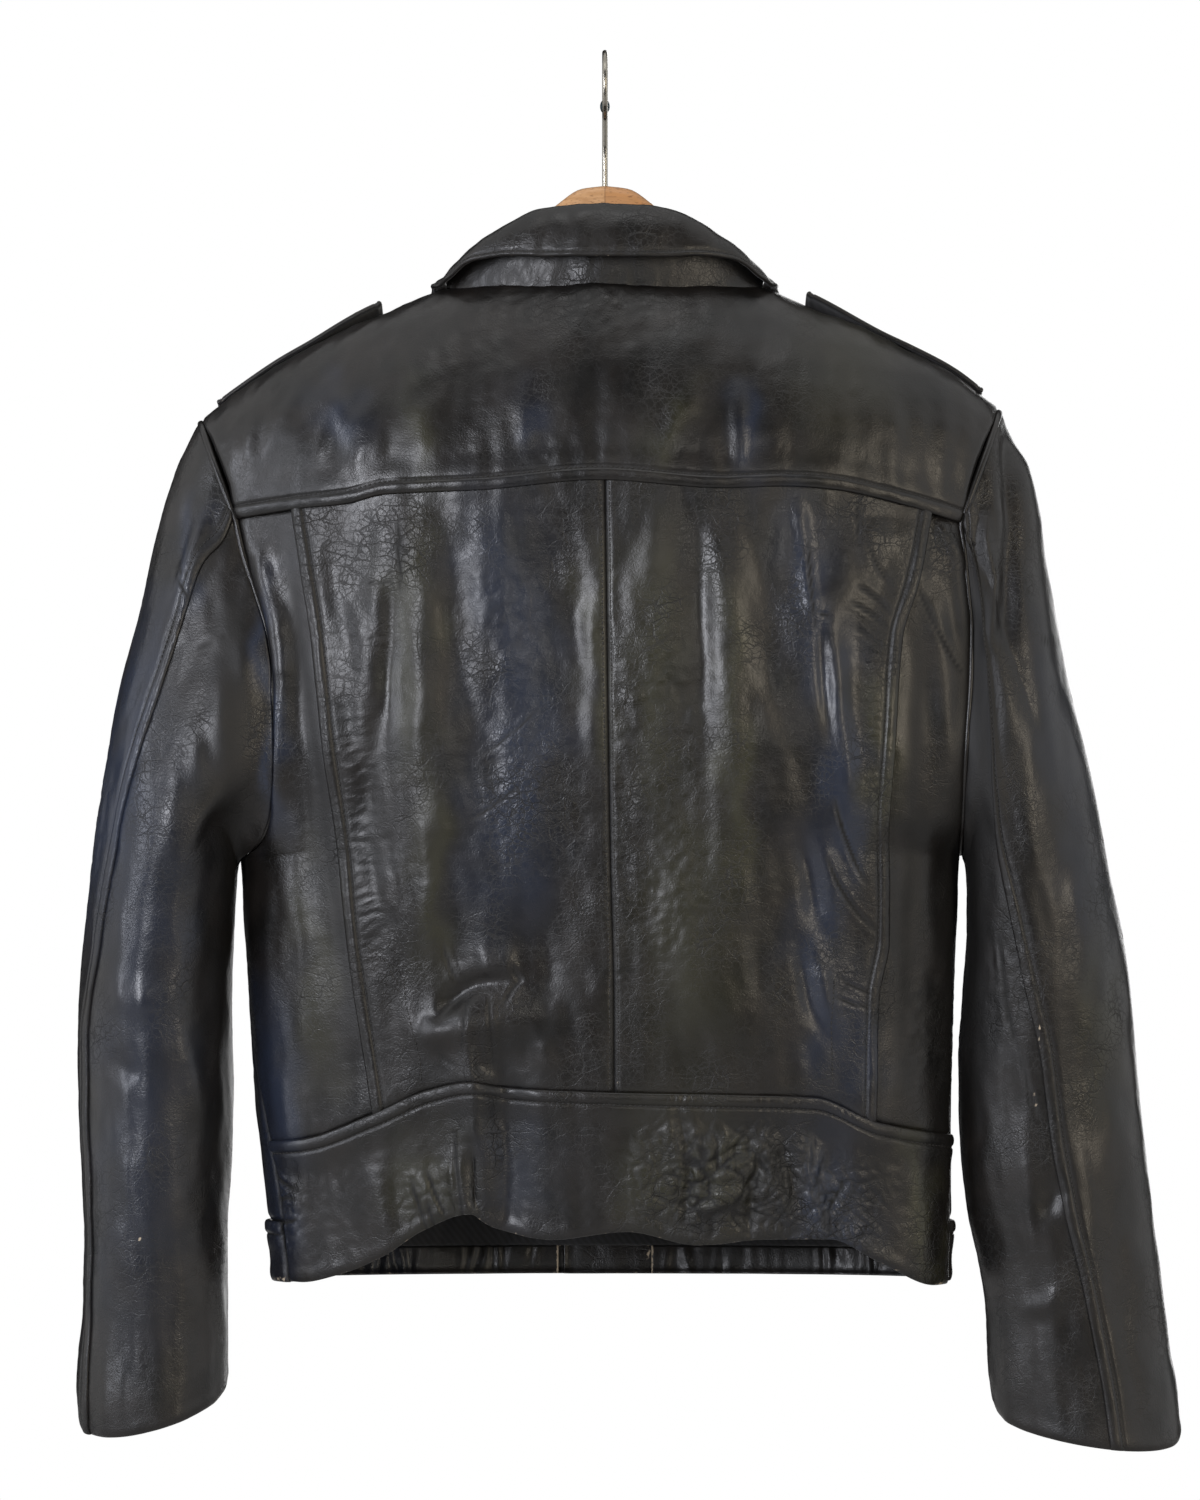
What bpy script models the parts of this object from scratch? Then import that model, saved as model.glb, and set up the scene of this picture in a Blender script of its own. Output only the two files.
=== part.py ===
import math

import bmesh
import bpy
import numpy as np
from mathutils import Vector

# Worn leather jacket hanging on a wooden hanger, its back towards -Y. Metres, +Z up.
# The origin is the inside of the hook's bend, where a rail carries it.

leather = 0.0014  # one thickness of the hide
doubled = 0.0026  # collar fall and shoulder straps, two layers
liningCloth = 0.001
seamGap = 0.0003
boxy = 2.4  # power of the body's rings, 2 is an ellipse
shoulderPower = 1.8  # power of the arch over the shoulder
underarmZ = -0.484
neckHalfWidth = 0.0955
neckBack = 0.375  # how far the neck hole runs back and forward from the ridge, as shares of the arch
neckFront = 0.71
shoulderSeam = 1.25  # front edge of the yoke on the arch, 1 is the ridge
yokeNeckShare = 0.43  # share of the yoke's half width whose upper edge is the neckline
panelColumns = 8
pleatTuck = 0.015
pleatStep = leather + 3 * seamGap
frontEdge = {-1: 0.027, 1: -0.0252}  # each front runs past the middle to here
frontLap = leather + 3 * seamGap
frontHemZ = -0.7405
frontBandHeight = 0.0365
facingHeight = 0.017
liningTopZ = -0.63
collarEnd = 0.88  # share of the half neckline at which the collar ends
standEnd = 0.46
sleeveSeamKnots = 5  # the front seam of the sleeve stands this many rows of the front below the yoke
strapWidth = 0.34  # share of the arch
cuffDrop = {-1: 0.017, 1: 0.014}
wireRadius = 0.0017
bendRadius = 0.0205
hookTopZ = wireRadius
woodTopZ = -0.0788
woodHalfWidth = 0.0065
woodReach = 0.212
woodClear = 0.0009  # under the leather at the ridge, whose arch falls away at the wood's sides
neckSide = 0.09  # the wood is under the yoke beyond this x
studRadius = 0.006
studHeight = 0.003
studX = 0.012
studLevels = (2.12, 2.37, 2.62, 2.87, 3.5)
strapStudShare = 0.14  # of the strap's length from its inner end
strapLevel = 0.97  # the strap's back edge on the arch, 1 is the ridge
strapEnds = {-1: (-0.1326, -0.2330), 1: (0.1194, 0.2270)}
strapLoose = 0.0045  # how far the strap's inner end stands off the shoulder
facingEdgeX = 0.0285
neckRows = 0.24  # share of a front's length along the neckline
woodTall = (0.034, 0.020)  # height of the hanger at the middle and at its ends
tipRadius = 0.003
tipHalfLength = 0.0045
middleZ = -0.45  # where searches for a height or a level start
sideX = 0.21  # about where the side seams and the armholes stand
searchSteps = 8
pastEnds = 1.0  # an x beyond every table, which gives its last row


def columns(names, *rows):
    # The named columns of a short table, as arrays.
    return dict(zip(names.split(), np.array(rows, float).T))


# Rings of the body: reach to the wearer's left and right, depth to the back and front.
rings = columns(
    "z left right back front",
    (-0.745, 0.2020, 0.2092, 0.061, 0.060),
    (-0.700, 0.2040, 0.2098, 0.065, 0.066),
    (-0.640, 0.2100, 0.2088, 0.071, 0.073),
    (-0.575, 0.2152, 0.2105, 0.077, 0.080),
    (-0.520, 0.2180, 0.2128, 0.081, 0.085),
    (-0.484, 0.2195, 0.2146, 0.083, 0.087),
    (-0.459, 0.2265, 0.2360, 0.084, 0.088),
    (-0.415, 0.2450, 0.2600, 0.085, 0.088),
    (-0.350, 0.2400, 0.2580, 0.083, 0.086),
    (-0.280, 0.2415, 0.2345, 0.080, 0.083),
)
# Armhole seam, seen from behind.
armhole = columns(
    "z left right",
    (-0.484, 0.2195, 0.2146),
    (-0.479, 0.2105, 0.2144),
    (-0.470, 0.2035, 0.2145),
    (-0.455, 0.1998, 0.2150),
    (-0.415, 0.1986, 0.2166),
    (-0.375, 0.1992, 0.2192),
    (-0.350, 0.2024, 0.2196),
    (-0.320, 0.2110, 0.2172),
    (-0.300, 0.2172, 0.2156),
    (-0.282, 0.2214, 0.2130),
)
# Degrees from the middle of the back to the side seams.
sideSeam = columns(
    "z left right",
    (-0.745, 69, 84),
    (-0.690, 72, 86),
    (-0.640, 78, 88),
    (-0.590, 88, 90),
    (-0.484, 90, 90),
)
ridge = columns(
    "x z",
    (-0.2442, -0.2208),
    (-0.2202, -0.2028),
    (-0.1926, -0.1842),
    (-0.1620, -0.1680),
    (-0.1290, -0.1542),
    (-0.0955, -0.1400),
    (-0.0500, -0.1205),
    (0.0000, -0.1115),
    (0.0500, -0.1205),
    (0.0955, -0.1395),
    (0.1290, -0.1540),
    (0.1632, -0.1686),
    (0.1866, -0.1794),
    (0.2100, -0.1920),
    (0.2382, -0.2142),
)
yokeSeam = columns(
    "x z",
    (-0.2214, -0.2815),
    (-0.1836, -0.2760),
    (-0.1542, -0.2730),
    (-0.1314, -0.2676),
    (-0.0750, -0.2652),
    (-0.0030, -0.2592),
    (0.0690, -0.2640),
    (0.1080, -0.2628),
    (0.1362, -0.2646),
    (0.1788, -0.2736),
    (0.2130, -0.2838),
)
waistSeam = columns(
    "x z",
    (-0.2050, -0.6558),
    (-0.1800, -0.6528),
    (-0.1398, -0.6378),
    (-0.1056, -0.6228),
    (-0.0800, -0.6178),
    (-0.0606, -0.6210),
    (0.0048, -0.6240),
    (0.0864, -0.6258),
    (0.1254, -0.6276),
    (0.1626, -0.6426),
    (0.2090, -0.6520),
)
backHem = columns(
    "x z",
    (-0.2030, -0.7390),
    (-0.1830, -0.7398),
    (-0.1608, -0.7350),
    (-0.1326, -0.7230),
    (-0.1086, -0.7074),
    (-0.0816, -0.6975),
    (-0.0650, -0.7060),
    (-0.0324, -0.7128),
    (0.0132, -0.7080),
    (0.0552, -0.7160),
    (0.0972, -0.7128),
    (0.1344, -0.7128),
    (0.1638, -0.7266),
    (0.1998, -0.7422),
    (0.2092, -0.7420),
)
centreSeam = columns("z x", (-0.63, 0.0054), (-0.57, 0.0052), (-0.48, 0.0030), (-0.26, 0.0))
pleatEdge = columns(
    "z left right",
    (-0.642, -0.1384, 0.1624),
    (-0.570, -0.1495, 0.1640),
    (-0.534, -0.1545, 0.1700),
    (-0.480, -0.1600, 0.1692),
    (-0.414, -0.1692, 0.1734),
    (-0.354, -0.1755, 0.1775),
    (-0.320, -0.1805, 0.1872),
    (-0.276, -0.1880, 0.1958),
)
# Largest folds of the back: from one end to the other, half width, movement outwards.
folds = columns(
    "x z x2 z2 width out",
    (-0.078, -0.585, -0.076, -0.705, 0.011, 0.0075),
    (-0.058, -0.600, -0.063, -0.710, 0.012, -0.0060),
    (-0.100, -0.585, -0.050, -0.580, 0.012, 0.0045),
    (0.118, -0.330, 0.152, -0.510, 0.020, 0.0040),
    (0.165, -0.285, 0.130, -0.345, 0.014, 0.0035),
    (-0.110, -0.290, -0.100, -0.520, 0.026, 0.0040),
    (-0.035, -0.300, -0.040, -0.560, 0.030, -0.0035),
    (0.075, -0.300, 0.080, -0.590, 0.026, 0.0035),
    (0.045, -0.650, 0.090, -0.690, 0.014, 0.0040),
    (0.125, -0.640, 0.150, -0.700, 0.013, -0.0035),
)
# Sleeve sections from armhole to cuff: outer and inner edge seen from behind, half depth,
# and the share of the width from the outer edge to the back seam.
sleeveSections = {
    -1: columns(
        "outerX outerZ innerX innerZ depth seam",
        (-0.2442, -0.2208, -0.2195, -0.4840, 0.056, 0.25),
        (-0.2646, -0.2700, -0.2222, -0.4905, 0.064, 0.20),
        (-0.2808, -0.3336, -0.2230, -0.4980, 0.070, 0.21),
        (-0.2958, -0.3948, -0.2232, -0.5070, 0.072, 0.22),
        (-0.3060, -0.4560, -0.2236, -0.5220, 0.071, 0.19),
        (-0.3150, -0.5280, -0.2244, -0.5500, 0.068, 0.15),
        (-0.3180, -0.5940, -0.2256, -0.5940, 0.064, 0.08),
        (-0.3174, -0.6504, -0.2262, -0.6504, 0.060, 0.08),
        (-0.3150, -0.7140, -0.2274, -0.7110, 0.056, 0.08),
        (-0.3156, -0.7560, -0.2274, -0.7560, 0.053, 0.08),
        (-0.3198, -0.8020, -0.2280, -0.7985, 0.051, 0.10),
        (-0.3168, -0.8225, -0.2286, -0.8010, 0.050, 0.08),
    ),
    1: columns(
        "outerX outerZ innerX innerZ depth seam",
        (0.2382, -0.2142, 0.2146, -0.4840, 0.056, 0.28),
        (0.2556, -0.2532, 0.2172, -0.4905, 0.063, 0.55),
        (0.2700, -0.3222, 0.2182, -0.4990, 0.066, 0.70),
        (0.2832, -0.3960, 0.2184, -0.5130, 0.064, 0.74),
        (0.3000, -0.4722, 0.2180, -0.5400, 0.060, 0.70),
        (0.3126, -0.5322, 0.2158, -0.5820, 0.055, 0.63),
        (0.3192, -0.5832, 0.2144, -0.6180, 0.051, 0.56),
        (0.3246, -0.6342, 0.2146, -0.6600, 0.048, 0.53),
        (0.3300, -0.6984, 0.2190, -0.6990, 0.045, 0.49),
        (0.3354, -0.7428, 0.2268, -0.7320, 0.043, 0.46),
        (0.3402, -0.7806, 0.2304, -0.7650, 0.042, 0.42),
        (0.3444, -0.8010, 0.2316, -0.7938, 0.041, 0.40),
        (0.3480, -0.8330, 0.2352, -0.8160, 0.040, 0.395),
    ),
}
# Collar by share of the half neckline: height of the fold line over the neck seam, scale of
# the neckline at the fall's edge, and that edge's height over the shoulder.
collar = columns(
    "share fold scale edge",
    (0.00, 0.0475, 1.40, 0.0385),
    (0.12, 0.0460, 1.36, 0.0370),
    (0.22, 0.0330, 1.29, 0.0300),
    (0.32, 0.0185, 1.18, 0.0130),
    (0.42, 0.0075, 1.10, 0.0040),
    (0.52, 0.0040, 1.09, 0.0036),
    (0.65, 0.0048, 1.22, 0.0048),
    (0.88, 0.0062, 1.36, 0.0060),
)
# Upper edge of the hanger where it rises through the neck.
woodTop = columns(
    "x z",
    (0.000, -0.0788),
    (0.014, -0.0806),
    (0.028, -0.0894),
    (0.045, -0.1055),
    (0.065, -0.1262),
    (0.085, -0.1440),
    (0.104, -0.1535),
    (0.125, -0.1590),
)


def curve(at, knots, values):
    # Smooth curve through a table's rows that doesn't swing past them.
    at = np.clip(at, knots[0], knots[-1])
    step = np.diff(knots)
    slope = np.diff(values) / step
    product = slope[1:] * slope[:-1]
    inner = np.where(product > 0, 2 * product / np.where(product > 0, slope[1:] + slope[:-1], 1), 0)
    tangent = np.concatenate([slope[:1], inner, slope[-1:]])
    row = np.clip(np.searchsorted(knots, at, side="right") - 1, 0, len(step) - 1)
    t = (at - knots[row]) / step[row]
    start = (1 + 2 * t) * (1 - t) ** 2 * values[row] + t * (1 - t) ** 2 * step[row] * tangent[row]
    end = t * t * (3 - 2 * t) * values[row + 1] + t * t * (t - 1) * step[row] * tangent[row + 1]
    return start + end


def read(table, at, column, key="z"):
    return curve(at, table[key], table[column])


def readSides(table, z, left):
    return np.where(left, read(table, z, "left"), read(table, z, "right"))


def ease(at, low, high):
    t = np.clip((at - low) / (high - low), 0, 1)
    return t * t * (3 - 2 * t)


def mix(a, b, t):
    return a + (b - a) * t


def unit(vectors):
    return vectors / np.maximum(np.linalg.norm(vectors, axis=-1, keepdims=True), 1e-12)


def power(value, exponent):
    return np.sign(value) * np.abs(value) ** exponent


def ringPoint(angle, z):
    # The ring at height z is a superellipse, 0 at the middle of the back and pi at the front.
    reach = readSides(rings, z, np.sin(angle) < 0)
    depth = np.where(np.cos(angle) > 0, read(rings, z, "back"), read(rings, z, "front"))
    x = reach * power(np.sin(angle), 2 / boxy)
    y = -depth * power(np.cos(angle), 2 / boxy)
    normal = np.stack([power(x / reach, boxy - 1) / reach, power(y / depth, boxy - 1) / depth], -1)
    return x, y, unit(normal)


def angleAtX(x, z):
    reach = readSides(rings, z, x < 0)
    return np.sign(x) * np.arcsin(np.clip(np.abs(x) / reach, 0, 1) ** (boxy / 2))


def borderAngle(z, left):
    # Where the back ends on its ring: at the armhole above, at the side seam below.
    seam = np.radians(readSides(sideSeam, z, left))
    edge = readSides(armhole, z, left) / readSides(rings, z, left)
    return np.where(z > underarmZ, np.arcsin(np.clip(edge, 0, 1) ** (boxy / 2)), seam)


def foldHeight(x, z):
    # Each fold is a ridge or trough around its line, fading at both ends.
    total = np.zeros(np.broadcast(x, z).shape)
    for a, b, c, d, width, out in zip(*(folds[name] for name in "x z x2 z2 width out".split())):
        length = math.hypot(c - a, d - b)
        along = ((x - a) * (c - a) + (z - b) * (d - b)) / length
        aside = ((x - a) * (d - b) - (z - b) * (c - a)) / length
        ends = ease(along, -0.03, 0.02) * (1 - ease(along, length - 0.02, length + 0.03))
        total += out * np.exp(-((aside / width) ** 2)) * ends
    return total


def levelHeight(level, x):
    # Height of each level: -2 back hem, -1 waist seam, 0 yoke seam, then the arch over the
    # shoulder with its ridge at 1, 2 its foot in front, 3 the front band's seam, 4 the front hem.
    yoke = read(yokeSeam, x, "z", "x")
    waist = read(waistSeam, x, "z", "x")
    hem = read(backHem, x, "z", "x")
    band = frontHemZ + frontBandHeight
    back = np.where(level > -1, mix(yoke, waist, -level), mix(waist, hem, -1 - level))
    front = np.where(level < 3, mix(yoke, band, level - 2), mix(band, frontHemZ, level - 3))
    return np.where(level < 1, back, front)


def ringPart(angle, level, folded):
    # Angle is 0 at the middle of the back, or of the front where the level is over 1.
    front = level > 1
    z = np.full(angle.shape, middleZ)
    for _ in range(searchSteps):
        x, y, normal = ringPoint(np.where(front, math.pi - angle, angle), z)
        z = levelHeight(level, x)
    armholeFade = 1 - ease(np.abs(angle) / borderAngle(z, angle < 0), 0.86, 1.0)
    out = foldHeight(x, z) * armholeFade * ease(-level, 0.0, 0.06) * folded
    return np.stack([x + normal[..., 0] * out, y + normal[..., 1] * out, z], -1)


def archRise(level):
    turn = np.clip(np.minimum(level, 2 - level), 0, 1) * math.pi / 2
    return np.sin(turn) ** (2 / shoulderPower), np.cos(turn) ** (2 / shoulderPower)


def sideReach(x):
    # Half widths of the shoulder at the yoke seam and at the ridge.
    low = np.where(x < 0, -yokeSeam["x"][0], yokeSeam["x"][-1])
    tip = np.where(x < 0, -ridge["x"][0], ridge["x"][-1])
    return low, tip


def archPart(lowX, level):
    # The arch that rises from the yoke seam at lowX, over the ridge and down in front.
    rise, depth = archRise(level)
    low, tip = sideReach(lowX)
    x = mix(lowX, lowX / low * tip, rise)
    lowZ = read(yokeSeam, lowX, "z", "x")
    z = mix(lowZ, read(ridge, x, "z", "x"), rise)
    angle = angleAtX(lowX, lowZ)
    y = np.where(level < 1, ringPoint(angle, lowZ)[1], ringPoint(math.pi - angle, lowZ)[1])
    return np.stack([x, y * depth, z], -1)


def bodyPoint(angle, level):
    angle, level = np.broadcast_arrays(np.asarray(angle, float), np.asarray(level, float))
    onArch = (level > 0) & (level < 2)
    ring = ringPart(angle, np.where(onArch, 0, level), np.where(onArch, 0, 1))
    return np.where(onArch[..., None], archPart(ring[..., 0], level), ring)


def angleOn(x, level):
    # The angle that lies at x on a level.
    low, tip = sideReach(x)
    onArch = (level > 0) & (level < 2)
    ringX = np.where(onArch, x * low / mix(low, tip, archRise(level)[0]), x)
    return angleAtX(ringX, levelHeight(np.where(onArch, 0, level), ringX))


def edgeAngle(side, level):
    # The angle of the armhole or the side seam on a level.
    edgeX = np.full(np.shape(level), np.sign(side) * sideX)
    onArch = (level > 0) & (level < 2)
    z = levelHeight(np.where(onArch, 0, level), edgeX)
    edge = borderAngle(z, edgeX < 0)
    return side * np.where((z < underarmZ) & (level > 1), math.pi - edge, edge)


def outward(angle, level):
    step = 2e-3
    across = bodyPoint(angle + step, level) - bodyPoint(angle - step, level)
    along = bodyPoint(angle, level + step) - bodyPoint(angle, level - step)
    return unit(np.cross(across, along))


def neckline(turn, scale=1.0):
    # Around the neck hole, 0 at the back and 1 at the front: its x and its level.
    angle = turn * math.pi
    reach = np.where(np.cos(angle) > 0, neckBack, neckFront)
    return scale * neckHalfWidth * np.sin(angle), 1 - scale * reach * np.cos(angle)


seamTurn = math.acos(-(shoulderSeam - 1) / neckFront) / math.pi
archLevels = np.array([1.25, 1.125, 1.0, 0.875, 0.7, 0.525, 0.35, 0.175, 0.0])
frontArchLevels = np.array([1.25, 1.42, 1.6, 1.8])


def underarmShare(side):
    # How far down from the yoke seam to the waist seam the underarm lies.
    high, low = levelHeight(np.array([0.0, -1.0]), np.full(2, side * sideX))
    return (high - underarmZ) / (high - low)


def backRows(side):
    under = underarmShare(side)
    above = under * np.array([0, 0.19, 0.37, 0.55, 0.73, 0.87, 0.96])
    return np.concatenate([above, mix(under, 1, np.array([0, 0.12, 0.3, 0.52, 0.76, 1]))])


def backRowHeights(side):
    high, low = levelHeight(np.array([0.0, -1.0]), np.full(2, side * sideX))
    return mix(high, low, backRows(side))


def steps(asked):
    return np.linspace(0, 1, asked + 1) if isinstance(asked, int) else np.asarray(asked, float)


def drawIn(grid, amount):
    # Moves the four edges of a grid of points squarely into the sheet, for the gap of a seam.
    moved = grid.copy()
    for edge, beside in ((0, 1), (-1, -2)):
        moved[edge] += squareTo(grid[edge], grid[beside]) * amount
        moved[:, edge] += squareTo(grid[:, edge], grid[:, beside]) * amount
    return moved


def squareTo(line, beside):
    tangent = unit(np.gradient(line, axis=0))
    offset = beside - line
    return unit(offset - tangent * (offset * tangent).sum(-1, keepdims=True))


def slopeNormal(surface, across, down):
    step = 2e-3
    aside = surface(np.minimum(across + step, 1), down) - surface(np.maximum(across - step, 0), down)
    along = surface(across, np.minimum(down + step, 1)) - surface(across, np.maximum(down - step, 0))
    return unit(np.cross(aside, along))


def addWall(
    name, surface, acrossSteps, downSteps, material, thickness=leather, normalOf=None, away=None, gap=seamGap
):
    # A closed wall: an outer sheet, an inner one a thickness inside it, and a rim between.
    # Its outside is where normalOf points, or the side that looks away from a point.
    across, down = np.meshgrid(steps(acrossSteps), steps(downSteps), indexing="ij")
    outer = surface(across, down)
    slope = slopeNormal(surface, across, down)
    normal = normalOf(across, down) if normalOf else slope
    guide = normal if normalOf else outer - np.array(away)
    facing = 1 if (slope * guide).sum() > 0 else -1
    normal = normal if normalOf else normal * facing
    inner = drawIn(outer - normal * thickness, gap / 2)
    outer = drawIn(outer, gap / 2)
    rows, cols = across.shape
    number = np.arange(rows * cols).reshape(rows, cols)
    quads = np.stack([number[:-1, :-1], number[1:, :-1], number[1:, 1:], number[:-1, 1:]], -1)
    quads = quads.reshape(-1, 4)
    loop = np.concatenate([number[:, 0], number[-1, 1:], number[-2::-1, -1], number[0, -2:0:-1]])
    after = np.roll(loop, -1)
    rim = np.stack([after, loop, loop + rows * cols, after + rows * cols], -1)
    faces = np.concatenate([quads, quads[:, ::-1] + rows * cols, rim])
    faces = faces if facing > 0 else faces[:, ::-1]
    points = np.concatenate([outer.reshape(-1, 3), inner.reshape(-1, 3)])
    mesh = bpy.data.meshes.new(name)
    mesh.from_pydata(points.tolist(), [], faces.tolist())
    mesh.shade_smooth()
    mesh.set_sharp_from_angle(angle=math.radians(40))
    return addObject(name, mesh, material)


def addObject(name, mesh, material):
    obj = bpy.data.objects.new(name, mesh)
    mesh.materials.append(material)
    jacket.objects.link(obj)
    return obj


def addMaterial(name, colour, roughness, metallic=0.0):
    material = bpy.data.materials.new(name)
    material.use_nodes = True
    shader = material.node_tree.nodes["Principled BSDF"]
    shader.inputs["Base Color"].default_value = (*colour, 1)
    shader.inputs["Roughness"].default_value = roughness
    shader.inputs["Metallic"].default_value = metallic
    return material


def bodySheet(near, far, top, bottom, lift=None):
    # A piece of the body between two upright edges and two levels, moved out by its lift.
    def place(across, down):
        level = mix(top, bottom, down)
        return mix(near(level), far(level), across), level

    def normalOf(across, down):
        return outward(*place(across, down))

    def surface(across, down):
        angle, level = place(across, down)
        point = bodyPoint(angle, level)
        if lift is not None:
            point = point + normalOf(across, down) * lift(angle, level)[..., None]
        return point

    return surface, normalOf


def at(x):
    return lambda level: angleOn(np.full(np.shape(level), x), level)


def border(side):
    return lambda level: edgeAngle(side, level)


def upright(table, column, tuck=0.0):
    # An edge of the back that is known by its x at each height.
    def angle(level):
        z = np.full(np.shape(level), middleZ)
        for _ in range(searchSteps):
            x = read(table, z, column) + tuck
            z = levelHeight(level, x)
        return angleAtX(x, z)

    return angle


def columnAngles(level):
    # Angles of the columns of the back's pieces where they meet the yoke or the waistband.
    middle, angles = upright(centreSeam, "x"), []
    for side, name in ((-1, "left"), (1, "right")):
        edge = upright(pleatEdge, name)(level)
        angles += [mix(middle(level), edge, t) for t in np.linspace(0, 1, panelColumns + 1)]
        angles += [mix(edge, edgeAngle(side, level), t) for t in (0.25, 0.5, 0.75, 1)]
    return np.unique(np.round(angles, 9))


def buildYoke():
    seamX = neckline(seamTurn)[0]
    frontReach = mix(*sideReach(np.array([-1.0, 1.0])), archRise(shoulderSeam)[0])

    def place(across, down):
        side = 2 * across - 1
        far = np.abs(side)
        neckX, neckLevel = neckline(np.clip(far / yokeNeckShare, 0, 1) * seamTurn)
        beyond = np.clip((far - yokeNeckShare) / (1 - yokeNeckShare), 0, 1)
        seamedX = mix(seamX, np.where(side < 0, frontReach[0], frontReach[1]), beyond)
        topX = np.where(far < yokeNeckShare, neckX, seamedX) * np.sign(side)
        topLevel = np.where(far < yokeNeckShare, neckLevel, shoulderSeam)
        low = np.where(side < 0, -edgeAngle(-1, 0 * side), edgeAngle(1, 0 * side)) * side
        return mix(angleOn(topX, topLevel), low, down), topLevel * (1 - down)

    def surface(across, down):
        return bodyPoint(*place(across, down))

    def normalOf(across, down):
        return outward(*place(across, down))

    angles = columnAngles(np.array(0.0))
    sides = np.where(angles < 0, -1, 1)
    across = 0.5 + 0.5 * angles / np.abs(edgeAngle(sides, 0 * angles))
    addWall("yoke", surface, across, 1 - archLevels / shoulderSeam, hide, normalOf=normalOf)


def buildBack():
    middle = upright(centreSeam, "x")
    for side, name in ((-1, "left"), (1, "right")):
        edge = upright(pleatEdge, name)
        tucked = upright(pleatEdge, name, -side * pleatTuck)

        def sunk(angle, level, edge=edge, side=side):
            near, far = np.abs(edge(level)), np.abs(edgeAngle(side, level))
            return -pleatStep * (1 - ease(np.abs(angle), mix(near, far, 0.1), mix(near, far, 0.9)))

        panel, panelNormal = bodySheet(middle, edge, 0.0, -1.0)
        addWall("back_panel_" + name, panel, panelColumns, backRows(side), hide, normalOf=panelNormal)
        under, underNormal = bodySheet(tucked, border(side), 0.0, -1.0, sunk)
        waist = np.array(-1.0)
        covered = (edge(waist) - tucked(waist)) / (edgeAngle(side, waist) - tucked(waist))
        across = [0, covered] + [mix(covered, 1, t) for t in (0.25, 0.5, 0.75, 1)]
        addWall("back_side_" + name, under, across, backRows(side), hide, normalOf=underNormal)
    bandAngles = columnAngles(np.array(-1.0))
    band, bandNormal = bodySheet(border(-1), border(1), -1.0, -2.0)
    across = (bandAngles - bandAngles[0]) / (bandAngles[-1] - bandAngles[0])
    addWall("waistband_back", band, across, 3, hide, normalOf=bandNormal)


def frontLift(side, x):
    # The wearer's left front lies over the right one at the middle.
    return frontLap * ease(x, -0.085, -0.040) if side < 0 else np.zeros_like(x)


def frontColumns():
    return [0, 0.08, 0.18, 0.3, 0.45, 0.62, 0.78, 0.9, 1]


def buildFront(side, name):
    edgeX = frontEdge[side]
    lastTurn = 1 + math.asin(abs(edgeX) / neckHalfWidth) / math.pi

    def place(across, down):
        neckX, neckLevel = neckline(mix(seamTurn, lastTurn, np.clip(down / neckRows, 0, 1)))
        below = np.clip((down - neckRows) / (1 - neckRows), 0, 1)
        level = mix(neckLevel, 3.0, below)
        inner = angleOn(side * neckX, level)
        outer = mix(shoulderSeam, 3.0, down)
        return mix(inner, edgeAngle(side, outer), across), mix(level, outer, across)

    def surface(across, down):
        point = bodyPoint(*place(across, down))
        point[..., 1] += frontLift(side, point[..., 0])
        return point

    def normalOf(across, down):
        return outward(*place(across, down))

    high, low = levelHeight(np.array([2.0, 3.0]), np.full(2, side * sideX))
    sideHeights = np.concatenate([backRowHeights(side), [-0.684]])
    levels = np.concatenate([frontArchLevels, 2 + (high - sideHeights) / (high - low), [3.0]])
    rows = np.sort(np.append((levels - shoulderSeam) / (3 - shoulderSeam), [0.12, neckRows]))
    addWall("front_" + name, surface, frontColumns(), rows, hide, normalOf=normalOf)
    band, bandNormal = bodySheet(at(edgeX), border(side), 3.0, 4.0)

    def bandSurface(across, down):
        point = band(across, down)
        point[..., 1] += frontLift(side, point[..., 0])
        return point

    addWall("front_band_" + name, bandSurface, frontColumns(), 2, hide, normalOf=bandNormal)


def armholePoint(side, turn):
    # Around the armhole: 0 at the shoulder tip, a quarter turn at the back, half at the underarm.
    left = np.full(np.shape(turn), side < 0)
    low, tip = sideReach(np.where(left, -1.0, 1.0))
    tipZ = read(ridge, side * tip, "z", "x")
    lowZ = read(yokeSeam, side * low, "z", "x")
    z = mix(tipZ, underarmZ, (1 - np.cos(turn)) / 2)
    rise = np.clip((z - lowZ) / (tipZ - lowZ), 0, 1)
    onArch = z > lowZ
    x = np.where(onArch, mix(low, tip, rise), readSides(armhole, z, left))
    ringZ = np.where(onArch, lowZ, z)
    angle = angleAtX(side * np.where(onArch, low, x), ringZ)
    angle = np.where(np.sin(turn) < 0, math.pi - angle, angle)
    depth = (1 - rise**shoulderPower) ** (1 / shoulderPower)
    return np.stack([side * x, ringPoint(angle, ringZ)[1] * depth, z], -1)


def armholeTurns(side):
    # Turns of the armhole's points under the sleeve's upper piece and under its lower one.
    tipZ = read(ridge, np.array(side * pastEnds), "z", "x")
    lowZ = read(yokeSeam, np.array(side * pastEnds), "z", "x")
    levels = np.unique(np.concatenate([archLevels, frontArchLevels, [2.0]]))
    arch = mix(lowZ, tipZ, archRise(levels)[0])
    ring = backRowHeights(side)
    ring = ring[ring > underarmZ - 1e-6]

    def turnAt(z):
        return np.arccos(np.clip(1 - 2 * (z - tipZ) / (underarmZ - tipZ), -1, 1))

    over = np.sort(np.where(levels > 1, -1, 1) * turnAt(arch))
    under = np.unique(np.round(np.concatenate([turnAt(ring), 2 * math.pi - turnAt(ring)]), 9))
    beyond = under[-sleeveSeamKnots:-1] - 2 * math.pi
    return np.concatenate([beyond, over]), under[: 1 - sleeveSeamKnots]


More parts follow.
